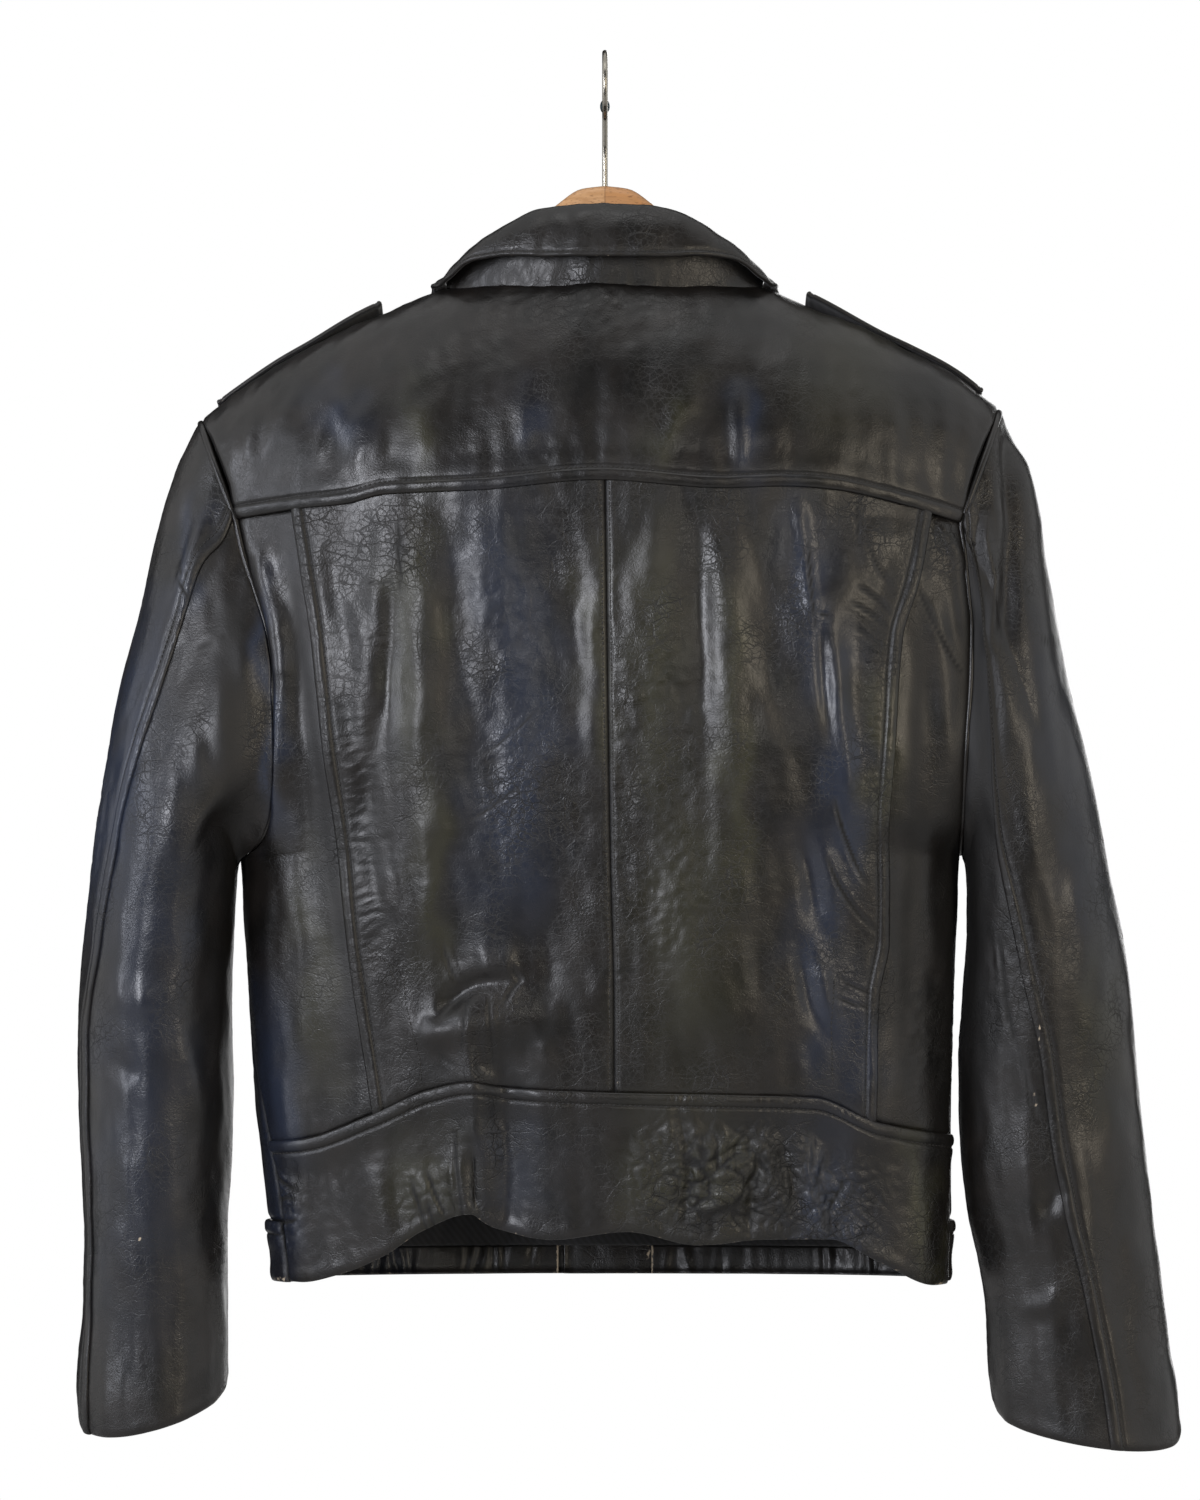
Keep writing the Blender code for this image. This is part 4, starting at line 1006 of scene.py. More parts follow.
# Patches where the grain is broken into cells: half width and height, size of a cell, depth.
crackled = fieldLines(
    "x z reachX reachZ cell depth",
    (40, -674, 28, 36, 8.5, 0.7),
    (72, -680, 34, 36, 13.5, 1.4),
    (88, -664, 22, 26, 9.5, 0.8),
    (118, -688, 28, 36, 9, 0.8),
    (150, -694, 18, 32, 9, 0.7),
    (-102, -690, 22, 22, 9, 0.4),
    (-192, -700, 12, 30, 8, 0.45),
    (200, -590, 22, 40, 8, 0.45),
    (-58, -340, 30, 50, 9, 0.22),
    (-45, -450, 36, 60, 9.5, 0.25),
    (30, -420, 30, 90, 9.5, 0.22),
    (40, -510, 34, 40, 8, 0.32),
    (-118, -300, 16, 30, 5, 0.14),
    (-310, -430, 14, 110, 5.5, 0.32),
    (-280, -330, 10, 40, 5, 0.26),
    (240, -560, 14, 50, 8, 0.4),
    (-20, -140, 70, 30, 8, 0.35),
)


# Shares of a patch's reach where it ends and over which it fades; how far the cells stray, how much
# taller than wide they are, how wide their lines are and how they rise, in cells; and the depths at
# which a patch counts as whole and a line's painted shade as full.
crackleLook = {
    "end": 1.35, "fade": (0.55, 1.3), "stray": 0.25, "tall": 1.25, "line": 0.11, "rise": (1.6, 0.5),
    "whole": 0.0013, "dark": 0.0011,
}


def crackle(points, take="height", look=crackleLook):
    # Cells with sunk edges: their height, the painted shade of the lines between them, or how far the patches
    # reach.
    total = np.zeros(points.shape[:-1])
    rows = eachRow(crackled, "x z reachX reachZ cell depth")
    for number, (x, z, reachX, reachZ, cell, depth) in enumerate(rows):
        far = np.hypot((points[..., 0] - x) / reachX, (points[..., 2] - z) / reachZ)
        inside = far < look["end"]
        if not inside.any():
            continue
        fade = 1 - ease(far[inside], *look["fade"])
        if take == "reach":
            total[inside] += fade * min(depth / look["whole"], 1)
            continue
        near = points[inside]
        shake = np.stack([lumps(near, (cell * 2,) * 3, number + 7 + k) for k in range(3)], -1)
        cellSize = (cell, cell, cell * look["tall"])
        edge = cellEdges(near + look["stray"] * cell * shake, cellSize, 3.1 * number)
        line = softRidge(edge / look["line"])
        steep, most = look["rise"]
        raised = depth * (steep * np.minimum(edge, most) - line)
        total[inside] += fade * (raised if take == "height" else line * depth / look["dark"])
    return total


# Fine wrinkles that run out from a seam: the seam's line, how far they reach and on which side.
seamWrinkles = fieldLines(
    "x z x2 z2 side reach spacing depth",
    (-179, -330, -150, -560, 1, 40, 4.8, 0.28),
    (179, -350, 172.5, -450, -1, 34, 5, 0.32),
    (3.5, -300, 6, -610, 1, 14, 5.2, 0.22),
    (3.5, -300, 6, -610, -1, 12, 5.2, 0.18),
    (-150, -245, 160, -247, 1, 12, 4.2, 0.28),
    (20, -630, 150, -640, 1, 12, 4.4, 0.35),
    (-248, -330, -299, -515, -1, 7, 4.8, 0.45),
    (235, -300, 229, -400, 1, 12, 5, 0.4),
    (250, -520, 268, -640, 1, 7, 4.4, 0.4),
    (-180, -655, -110, -628, 1, 12, 6, 0.2),
)


# How the wrinkles fade past the seam's ends, start beside it and stay whole for a share of their
# reach, and how they wander and vary in strength.
wrinkleLook = {
    "ends": 0.012, "start": 0.002, "whole": 0.35, "bends": (0.012, 0.02, 0.012), "wander": 1.7,
    "patches": (0.03, 0.03, 0.03), "strength": (0.5, 0.5, 1.4),
}


def wrinkles(points, look=wrinkleLook):
    # Waves across each seam's own line, of uneven strength, that die away from the seam.
    x, z = points[..., 0], points[..., 2]
    total = np.zeros(x.shape)
    rows = eachRow(seamWrinkles, "x z x2 z2 side reach spacing depth")
    for number, (a, b, c, d, side, reach, spacing, depth) in enumerate(rows):
        length, along, aside = besideLine(x, z, a, b, c, d)
        aside = -side * aside
        ends, start = look["ends"], look["start"]
        inside = ease(along, -ends, ends) * (1 - ease(along, length - ends, length + ends))
        inside = inside * ease(aside, -start, start) * (1 - ease(aside, reach * look["whole"], reach))
        shake = lumps(points, look["bends"], number + 40) * look["wander"]
        base, swing, most = look["strength"]
        strength = base + swing * lumps(points, look["patches"], number + 60)
        wave = np.sin(2 * math.pi * along / spacing + shake)
        total += depth * inside * np.clip(strength, 0, most) * wave
    return total


# Painted sheens, bluish (cool) and olive (warm), laid as lines with a width.
paintedSheens = fieldLines(
    "x z x2 z2 bend width cool warm",
    (-168, -205, -145, -236, 0, 11, 0.75, 0),
    (-112, -206, -106, -253, 0, 12, 0, 0.8),
    (-50, -208, -44, -240, 0, 10, 0.7, 0),
    (52, -204, 33, -246, 0, 9, 0, 0.7),
    (79, -204, 83, -254, 0, 8, 0.9, 0),
    (150, -150, 140, -240, 0, 30, 0, 0.35),
    (-70, -275, -45, -400, 0, 22, 0.85, 0),
    (-50, -390, -60, -520, 0, 24, 0.85, 0),
    (-115, -275, -118, -430, 0, 12, 0, 0.8),
    (-6, -300, -4, -430, 0, 8, 0, 0.8),
    (-100, -420, -104, -560, 0, 12, 0, 0.7),
    (28, -285, 30, -440, 0, 16, 0, 0.8),
    (72, -310, 78, -500, 0, 10, 0, 0.8),
    (45, -450, 50, -600, 0, 30, 0, 0.7),
    (116, -275, 135, -400, 0, 14, 0.9, 0),
    (138, -400, 150, -500, 0, 12, 0.9, 0),
    (125, -470, 130, -620, 0, 13, 0.8, 0),
    (155, -560, 150, -640, 0, 14, 0.6, 0),
    (165, -380, 160, -480, 0, 10, 0, 0.8),
    (-200, -310, -195, -470, 0, 7, 1, 0),
    (-176, -480, -168, -620, 0, 12, 0, 0.6),
    (-205, -560, -198, -740, 0, 13, 0.8, 0),
    (-245, -270, -256, -330, 0, 8, 0.8, 0),
    (-270, -330, -312, -520, 0, 16, 1, 0),
    (-270, -420, -280, -760, 0, 26, 0.6, 0),
    (258, -330, 300, -560, 0, 18, 0.35, 0),
    (292, -540, 296, -640, 0, 12, 0, 0.5),
    (60, -650, 70, -700, 0, 28, 0, 0.8),
    (22, -640, 30, -700, 0, 16, 0, 0.5),
    (125, -650, 140, -730, 0, 20, 0.9, 0),
    (188, -650, 194, -740, 0, 8, 0, 0.9),
    (-110, -660, -105, -700, 0, 24, 0, 0.6),
    (-60, -640, -50, -700, 0, 22, 0.4, 0),
)


paintedSheenLook = {"bends": (0.03, 0.03, 0.04), "wander": 0.006, "front": 0.8}


def paintedSheenShares(points, look=paintedSheenLook):
    # The shares of the painted cool and warm sheens, with wavering borders.
    shake = np.stack([lumps(points, look["bends"], 90 + k) for k in range(3)], -1)
    placed = points + look["wander"] * shake

    def share(sheenTint):
        field = fromBehind(placed, lambda p: lineField(p, paintedSheens, sheenTint, softRidge), look["front"])
        return np.clip(field, 0, 1)

    return {sheenTint: share(sheenTint) for sheenTint in ("cool", "warm")}


# Rubbed places: the finish is gone and the tan flesh of the hide shows.
rubbed = fieldLines(
    "x z x2 z2 bend width strength",
    (-279, -711, -276.5, -714, 0, 1.2, 0.9),
    (-266, -750, -264, -751, 0, 1, 0.7),
    (-271.5, -589, -269, -591, 0, 0.8, 0.5),
    (227.5, -254.5, 230, -249, 0, 1.4, 0.7),
    (6, -618, 10, -619, 0, 0.9, 0.6),
    (-25, -640, -23, -641, 0, 1.4, 0.5),
    (256, -618, 259, -648, 0, 1, 0.9),
    (259.5, -575, 260, -598, 0, 0.9, 0.6),
    (-27, -717, -26.5, -738.5, 0, 0.9, 1),
    (26.2, -716, 26.4, -738.5, 0, 0.9, 0.9),
    (-13, -720, -6, -719.5, 0, 1, 0.8),
    (-200, -738, -190, -738.5, 0, 1.2, 0.8),
    (-8, -712, 0, -713, 0, 0.7, 0.7),
    (-4, -126, -3.5, -133, 0, 0.8, 0.8),
    (200, -741, 206, -740, 0, 1, 0.6),
)


rubbedUpTo = 0.09  # no scuffs further forward than this y


def uneven(points, start, layers):
    # A starting value with layers of soft unevenness on it: how strong, how large and which draw.
    for amount, size, seed in layers:
        start = start + amount * lumps(points, size, seed)
    return start


def scuffs(points):
    worn = lineField(points, rubbed, "strength", softRidge) * (points[..., 1] < rubbedUpTo)
    return worn * uneven(points, 0.6, [(0.5, (0.003, 0.003, 0.003), 31)])


softFoldShare = 1.5
hideLayers = (
    (0.0007, (0.05, 0.06, 0.12), 3),
    (0.00024, (0.016, 0.02, 0.034), 5),
    (0.00006, (0.006, 0.006, 0.008), 8),
)


def hideRelief(points):
    # Folds, creases, crackle and wrinkles, on soft unevenness of three sizes.
    def placed(p):
        folded = softFoldShare * lineField(p, softFolds, "out", softRidge)
        return folded + lineField(p, sharpCreases, "depth", sharpCrease) + crackle(p) + wrinkles(p)

    return uneven(points, fromBehind(points, placed), hideLayers)


# Painted shade in the armpits and beside the pleats, where the hide is also made matt.
matt = fieldLines(
    "x z x2 z2 bend width strength",
    (220, -290, 230, -490, 0, 13, 0.85),
    (218, -460, 226, -640, 0, 12, 0.7),
    (-224, -340, -224, -520, 0, 9, 0.6),
    (-230, -500, -230, -700, 0, 10, 0.45),
    (189, -330, 176, -630, 0, 5, 0.6),
    (-190, -290, -150, -590, 0, 4, 0.6),
    (208, -430, 207, -720, 0, 8, 0.6),
)


darkDepth = 0.0005  # a crease this deep gets its full painted shade


def paintedShadeField(points):
    # Painted shade: in the crackled patches' lines, in the sharp creases, and in the armpits and beside the
    # pleats.
    def placed(p):
        creases = -lineField(p, sharpCreases, "depth", sharpCrease)
        lines = crackle(p, "lines") + np.clip(creases / darkDepth, 0, 1)
        return lines + lineField(p, matt, "strength", softRidge)

    return fromBehind(points, placed)


grainLayers = ((0.6, (0.05, 0.06, 0.09), 61), (0.35, (0.02, 0.02, 0.03), 67))
leastGrain, crackledGrain = 0.02, 0.7


def grained(points, share):
    # How far the grain has opened up: uneven, by a share for each piece, and more where it is crackled.
    opened = np.clip(share * uneven(points, 0.55, grainLayers), leastGrain, 1)
    patches = fromBehind(points, lambda p: crackle(p, "reach"))
    return opened + crackledGrain * np.clip(patches, 0, 1)


def linear(code):
    # An sRGB hex colour as the linear values that Blender reads.
    parts = [int(code[i : i + 2], 16) / 255 for i in (1, 3, 5)]
    return (*(c / 12.92 if c <= 0.04045 else ((c + 0.055) / 1.055) ** 2.4 for c in parts), 1)


def plug(tree, made, inputs):
    # Gives a node its inputs by name or number, each a value or another node's socket.
    for name, value in inputs.items():
        if isinstance(value, bpy.types.NodeSocket):
            tree.links.new(value, made.inputs[name])
        else:
            made.inputs[name].default_value = value


def node(tree, kind, inputs, **settings):
    # Adds a node with its settings by name.
    made = tree.nodes.new(kind)
    for name, value in settings.items():
        setattr(made, name, value)
    plug(tree, made, inputs)
    return made


def millimetres(size):
    # The scale that gives a noise or cell pattern this size.
    return 1000 / size


def blend(tree, share, low, high):
    # Mixes two colours, each an sRGB code or a socket.
    low, high = (linear(end) if isinstance(end, str) else end for end in (low, high))
    return node(tree, "ShaderNodeMix", {0: share, 6: low, 7: high}, data_type="RGBA").outputs[2]


def between(tree, share, low, high):
    # Mixes two numbers.
    return node(tree, "ShaderNodeMix", {0: share, 2: low, 3: high}, data_type="FLOAT").outputs[0]


def spread(tree, value, low, high, start=0.0, end=1.0, **settings):
    # Stretches the range from low to high over the range from start to end.
    inputs = {0: value, 1: low, 2: high, 3: start, 4: end}
    return node(tree, "ShaderNodeMapRange", inputs, **settings).outputs[0]


def reckon(tree, operation, *values, **settings):
    return node(tree, "ShaderNodeMath", dict(enumerate(values)), operation=operation, **settings).outputs[0]


def noise(tree, place, size, detail, distortion=0.0):
    # Soft unevenness whose blots have a size in millimetres.
    inputs = {"Vector": place, "Scale": millimetres(size), "Detail": detail, "Distortion": distortion}
    return node(tree, "ShaderNodeTexNoise", inputs).outputs["Fac"]


def stretched(tree, place, scale):
    return node(tree, "ShaderNodeMapping", {"Vector": place, "Scale": scale}).outputs[0]


def attribute(tree, name):
    return node(tree, "ShaderNodeAttribute", {}, attribute_name=name).outputs["Fac"]


def bumped(tree, height, strength, distance):
    inputs = {"Height": height, "Strength": strength, "Distance": distance}
    return node(tree, "ShaderNodeBump", inputs).outputs[0]


def moved(tree, operation, vector, inputs):
    # Arithmetic on a vector.
    return node(tree, "ShaderNodeVectorMath", {0: vector, **inputs}, operation=operation).outputs[0]


def newMaterial(name):
    # A new material, its tree and the Object coordinates that its patterns read.
    material = bpy.data.materials.new(name)
    material.use_nodes = True
    tree = material.node_tree
    return material, tree, node(tree, "ShaderNodeTexCoord", {}).outputs["Object"]


def finished(material, inputs):
    # The material with its shader's inputs given, constants among them.
    tree = material.node_tree
    plug(tree, tree.nodes["Principled BSDF"], inputs)
    return material


# Sizes of patterns are in millimetres, coarser than life so that they show. A net's depth is its least
# depth and what the open grain adds to it, in metres.
cowhideLook = {
    # deep is the darkest tone and also the painted shade; cool and warm are the painted bluish and olive
    # sheens
    "base": "#1a1715", "deep": "#0c0b0a", "cool": "#252b39", "warm": "#302f21", "worn": "#a89a86",
    "pores": 0.9, "poreDepth": 0.00004, "clouds": 26, "sweeps": 18, "rub": 2.6, "shake": 7, "shaken": 0.0055,
    "nets": {
        "pebbles": {"size": 2.1, "line": 0.30, "stretch": (1, 1, 1), "power": 1, "depth": (0.00002, 0.00003)},
        "veins": {"size": 4.2, "line": 0.10, "stretch": (1, 1, 1), "power": 2, "depth": (0.00001, 0.00006)},
        "wrinkles": {
            "size": 10.0, "line": 0.055, "stretch": (0.72, 1.0, 1.25), "power": 2,
            "depth": (0.00001, 0.00018),
        },
    },
    "roughness": (0.29, 0.38), "coolRoughness": 0.28, "paintedShadeRoughness": 0.78, "wornRoughness": 0.8,
}


def cowhide(name, look):
    # Aniline black cowhide, drum dyed, lightly finished and worn: a soft satin shine that breaks up over
    # pebbled grain and a net of fine creases, with painted bluish sheens where it is also smoother, painted
    # olive sheens, and painted shade in its creases.
    material, tree, place = newMaterial(name)
    inputs = {"Vector": place, "Scale": millimetres(look["shake"]), "Detail": 4.0}
    blots = node(tree, "ShaderNodeTexNoise", inputs).outputs["Color"]
    offset = moved(tree, "SUBTRACT", blots, {1: (0.5, 0.5, 0.5)})
    bent = moved(tree, "ADD", place, {1: moved(tree, "SCALE", offset, {"Scale": look["shaken"]})})
    grain = attribute(tree, "grain")
    height = reckon(tree, "MULTIPLY", noise(tree, place, look["pores"], 2.0), look["poreDepth"])
    nets = {}
    for kind, net in look["nets"].items():
        # 0 in the creases between the cells of one size, 1 on the cells.
        inputs = {"Vector": stretched(tree, bent, net["stretch"]), "Scale": millimetres(net["size"])}
        cells = node(tree, "ShaderNodeTexVoronoi", inputs, feature="DISTANCE_TO_EDGE").outputs["Distance"]
        nets[kind] = spread(tree, cells, 0.0, net["line"], interpolation_type="SMOOTHSTEP")
        least, added = net["depth"]
        depth = reckon(tree, "MULTIPLY_ADD", reckon(tree, "POWER", grain, net["power"]), added, least)
        height = reckon(tree, "MULTIPLY_ADD", nets[kind], depth, height)
    clouds = spread(tree, noise(tree, place, look["clouds"], 5.0), 0.35, 0.65)
    colour = blend(tree, clouds, look["deep"], look["base"])
    # Painted sheens: olive and bluish colour where the piece's attributes lay them.
    for sheenTint in ("warm", "cool"):
        colour = blend(tree, attribute(tree, sheenTint), colour, look[sheenTint])
    # Painted shade: the grain's crease lines and the places the piece's attribute gives are darkened towards
    # the deep colour and made rougher.
    lines = reckon(tree, "MINIMUM", nets["wrinkles"], nets["veins"])
    creaseShade = reckon(tree, "MULTIPLY", spread(tree, lines, 0.0, 0.8, 0.8, 0.0), grain)
    paintedShading = reckon(tree, "MAXIMUM", creaseShade, attribute(tree, "paintedShade"), use_clamp=True)
    colour = blend(tree, paintedShading, colour, look["deep"])
    broken = reckon(tree, "ADD", attribute(tree, "wear"), noise(tree, place, look["rub"], 4.0))
    worn = spread(tree, broken, 0.86, 1.12, interpolation_type="SMOOTHSTEP")
    sweeps = noise(tree, stretched(tree, place, (1.0, 1.0, 0.25)), look["sweeps"], 3.0)
    satin = spread(tree, sweeps, 0.34, 0.66, *look["roughness"])
    gloss = between(tree, attribute(tree, "cool"), satin, look["coolRoughness"])
    dull = between(tree, paintedShading, gloss, look["paintedShadeRoughness"])
    return finished(material, {
        "Base Color": blend(tree, worn, colour, look["worn"]),
        "Roughness": between(tree, worn, dull, look["wornRoughness"]),
        "Normal": bumped(tree, height, 1.0, 1.0),
        "Specular IOR Level": 0.45,
    })


liningLook = {"thread": "#17171a", "gap": "#060607", "spacing": 0.55, "slant": 38, "roughness": (0.62, 0.84)}


def liningTwill(look):
    # Black viscose twill, woven: fine slanting ribs with a faint sheen.
    # Its ribs are drawn at 0.55 mm, coarser than the real 0.3 mm, so that they show.
    material, tree, place = newMaterial("black viscose twill")
    turn = (0, math.radians(look["slant"]), 0)
    turned = node(tree, "ShaderNodeMapping", {"Vector": place, "Rotation": turn}).outputs[0]
    waves = {"Vector": turned, "Scale": millimetres(look["spacing"]) / 20, "Distortion": 0.6}
    ribs = node(tree, "ShaderNodeTexWave", waves).outputs["Fac"]
    return finished(material, {
        "Base Color": blend(tree, ribs, look["gap"], look["thread"]),
        "Roughness": spread(tree, noise(tree, place, 14, 3.0), 0.0, 1.0, *look["roughness"]),
        "Normal": bumped(tree, ribs, 0.5, 0.00015),
        "Sheen Weight": 0.15,
    })


threadShade = {"light": "#2c2a28", "dark": "#121110", "ply": 0.5, "roughness": 0.6}


def waxedThread(look):
    # Waxed black polyester sewing thread, twisted: fine plies with a dull shine.
    material, tree, place = newMaterial("waxed polyester thread")
    plies = noise(tree, place, look["ply"], 2.0)
    return finished(material, {
        "Base Color": blend(tree, plies, look["dark"], look["light"]),
        "Roughness": look["roughness"],
        "Normal": bumped(tree, plies, 0.6, 0.0001),
    })


beechLook = {
    "light": "#cfa274", "dark": "#b0804f", "red": "#c08a58", "fleck": "#7d5433", "glue": "#8a6038",
    "grain": 2.2, "flecks": 0.9, "roughness": (0.36, 0.52),
}


def beech(look):
    # Steamed beech, milled, sanded and clear lacquered: long fine grain along the bar, short dark flecks,
    # and the faint line of a glued joint across its middle.
    material, tree, place = newMaterial("lacquered beech")
    grain = noise(tree, stretched(tree, place, (0.16, 1.0, 1.0)), look["grain"], 6.0, 0.5)
    flecks = noise(tree, stretched(tree, place, (0.28, 1.0, 1.0)), look["flecks"], 1.0)
    along = node(tree, "ShaderNodeSeparateXYZ", {0: place}).outputs["X"]
    half = spread(tree, along, -0.0006, 0.0006, interpolation_type="SMOOTHSTEP")
    pale = spread(tree, grain, 0.3, 0.7)
    colour = blend(tree, half, *(blend(tree, pale, look["dark"], look[shade]) for shade in ("light", "red")))
    colour = blend(tree, spread(tree, flecks, 0.60, 0.68, 0.0, 0.7), colour, look["fleck"])
    joint = spread(tree, reckon(tree, "ABSOLUTE", along), 0.00015, 0.00045, 0.8, 0.0)
    smoothest, roughest = look["roughness"]
    return finished(material, {
        "Base Color": blend(tree, joint, colour, look["glue"]),
        "Roughness": spread(tree, pale, 0.0, 1.0, roughest, smoothest),
        "Normal": bumped(tree, grain, 0.4, 0.0002),
        "Coat Weight": 0.3,
        "Coat Roughness": 0.25,
    })


wireLook = {"bright": "#a8a49a", "dull": "#77736a", "roughness": (0.16, 0.34), "bloom": 7, "scratches": 0.9}


def nickelWire(name, look):
    # Steel, drawn or pressed and nickel plated: bright, with fine scratches and a dull bloom in places.
    material, tree, place = newMaterial(name)
    scratches = noise(tree, place, look["scratches"], 3.0)
    return finished(material, {
        "Base Color": blend(tree, noise(tree, place, look["bloom"], 4.0), look["dull"], look["bright"]),
        "Roughness": spread(tree, scratches, 0.3, 0.7, *look["roughness"]),
        "Normal": bumped(tree, scratches, 0.3, 0.00004),
        "Metallic": 1.0,
    })


hide = cowhide("aniline black cowhide", cowhideLook)
lining = liningTwill(liningLook)
thread = waxedThread(threadShade)
wood = beech(beechLook)
wire = nickelWire("nickel plated wire", wireLook)
studMetal = nickelWire("nickel plated press studs", dict(wireLook, roughness=(0.2, 0.4)))
dipLook = dict(wireLook, bright="#3a474b", dull="#232c2f", roughness=(0.28, 0.42))
dip = nickelWire("blackened steel tip", dipLook)
print("materials made")


def bodySheet(near, far, top, bottom, lift=None):
    # A piece of the body between two upright edges and two levels, moved out by its lift.
    def surface(across, down):
        level = mix(top, bottom, down)
        angle = mix(near(level), far(level), across)
        point = bodyPoint(angle, level)
        if lift is not None:
            point = point + outward(angle, level) * lift(angle, level)[..., None]
        return point

    return surface


def at(x):
    return lambda level: angleOn(np.full(np.shape(level), x), level)


def border(side):
    return lambda level: edgeAngle(side, level)


def upright(table, column, tuck=0.0):
    # An edge of the back that is known by its x at each height, as its angle on a level.
    def angle(level):
        z = np.full(np.shape(level), firstHeight)
        for _ in range(rounds):
            x = read(table, z, column) + tuck
            z = levelHeight(level, x)
        return angleAtX(x, z)

    return angle


yokeLook = {"pitch": 0.0023, "grain": 0.25, "edges": ("seam", "seam", "seam", "lap")}


def buildYoke(look):
    # Across runs from armhole to armhole, down from the neck and the front seam to the lapped edge.
    seamX = neckline(seamTurn)[0]
    frontReach = mix(*sideReach(np.array([-1.0, 1.0])), archRise(shoulderSeam)[0])

    def surface(across, down):
        side = 2 * across - 1
        far = np.abs(side)
        neckX, neckLevel = neckline(np.clip(far / yokeNeckShare, 0, 1) * seamTurn)
        beyond = np.clip((far - yokeNeckShare) / (1 - yokeNeckShare), 0, 1)
        seamedX = mix(seamX, np.where(side < 0, frontReach[0], frontReach[1]), beyond)
        topX = np.where(far < yokeNeckShare, neckX, seamedX) * np.sign(side)
        topLevel = np.where(far < yokeNeckShare, neckLevel, shoulderSeam)
        low = np.where(side < 0, -edgeAngle(-1, 0 * side), edgeAngle(1, 0 * side)) * side
        return bodyPoint(mix(angleOn(topX, topLevel), low, down), topLevel * (1 - down))

    return buildSheet("yoke", surface, look, hide, hideRelief, away=(0, 0, -0.4))


panelLook = {"pitch": 0.0018, "grain": 0.6, "edges": ("seam", "lap", "tuck", "tuck")}
sideLook = {"pitch": 0.0024, "grain": 0.5, "edges": ("plain", "seam", "tuck", "tuck")}
underLap = 0.035  # how far the pieces below a lapped edge run on under it, in levels
pleatCloses = (0.1, 0.9)  # shares of the way from the pleat to the side seam


def buildBack(panel, sidePiece):
    middle = upright(centreSeam, "x")
    away = (0, 0.3, -0.45)
    sheets = {}
    for side, name in ((-1, "left"), (1, "right")):
        edge = upright(pleatEdge, name)
        tucked = upright(pleatEdge, name, -side * pleatTuck)

        def sunk(angle, level, edge=edge, side=side):
            # Under the panel by a step that closes towards the side seam.
            near, far = np.abs(edge(level)), np.abs(edgeAngle(side, level))
            closed = ease(np.abs(angle), *(mix(near, far, share) for share in pleatCloses))
            return -pleatStep * (1 - closed)

        surface = bodySheet(middle, edge, underLap, -1 - underLap)
        sheets[name] = buildSheet("back_panel_" + name, surface, panel, hide, hideRelief, away)
        surface = bodySheet(tucked, border(side), underLap, -1 - underLap, sunk)
        buildSheet("back_side_" + name, surface, sidePiece, hide, hideRelief, away)
    return sheets


bandLook = {"pitch": 0.00125, "grain": 0.7, "edges": ("seam", "seam", "lap", "hem")}


def buildWaistband(look):
    surface = bodySheet(border(-1), border(1), -1.0, -2.0)
    return buildSheet("waistband_back", surface, look, hide, hideRelief, away=(0, 0.3, -0.7))


frontLook = {"pitch": 0.005, "edges": ("hem", "seam", "seam", "tuck")}
frontBandLook = {"pitch": 0.0028, "lined": False, "edges": ("hem", "seam", "lap", "hem")}
neckRows = 0.24  # share of a front's length along the neckline


liftOver = (-0.085, -0.040)  # x from which the left front rises, and at which it is up


def frontLift(side, x):
    # The wearer's left front lies over the right one at the middle.
    return frontLap * ease(x, *liftOver) if side < 0 else np.zeros_like(x)


def buildFront(side, name, look, bandLook):
    edgeX = frontEdge[side]
    lastTurn = 1 + math.asin(abs(edgeX) / neckHalfWidth) / math.pi

    def surface(across, down):
        neckX, neckLevel = neckline(mix(seamTurn, lastTurn, np.clip(down / neckRows, 0, 1)))
        below = np.clip((down - neckRows) / (1 - neckRows), 0, 1)
        level = mix(neckLevel, 3.0, below)
        inner = angleOn(side * neckX, level)
        outer = mix(shoulderSeam, 3.0, down)
        point = bodyPoint(mix(inner, edgeAngle(side, outer), across), mix(level, outer, across))
        point[..., 1] += frontLift(side, point[..., 0])
        return point

    band = bodySheet(at(edgeX), border(side), 3.0, 4.0)

    def bandSurface(across, down):
        point = band(across, down)
        point[..., 1] += frontLift(side, point[..., 0])
        return point

    front = buildSheet("front_" + name, surface, look, hide, hideRelief, away=(0, -0.3, -0.45))
    strip = buildSheet("front_band_" + name, bandSurface, bandLook, hide, hideRelief, away=(0, -0.3, -0.7))
    return front, strip


sleeveLook = {
    "pitch": 0.0025, "grain": 0.55,
    "top": ("seam", "lap", "seam", "hem"), "under": ("tuck", "seam", "seam", "hem"),
}
seamOverlap = 0.12  # the lower piece runs on under the upper one, in radians of turn


# Rows of the front from the yoke seam, 0, down to the underarm, 1.
frontRows = np.array([0, 0.19, 0.37, 0.55, 0.73, 0.87, 0.96, 1])


def armholeSeamTurns(side):
    # Where the back and the front seam of the sleeve start, as turns of the armhole: at the yoke seam
    # behind, and at one of the rows in front.
    tipX = ridge["x"][-1 if side > 0 else 0]
    tipZ = read(ridge, tipX, "z", "x")
    high = levelHeight(np.array([0.0]), np.array([side * sideReading]))
    heights = mix(high, underarmZ, frontRows)
    turns = np.arccos(np.clip(1 - 2 * (heights - tipZ) / (underarmZ - tipZ), -1, 1))
    return turns[0], -turns[sleeveSeamKnots - 1]


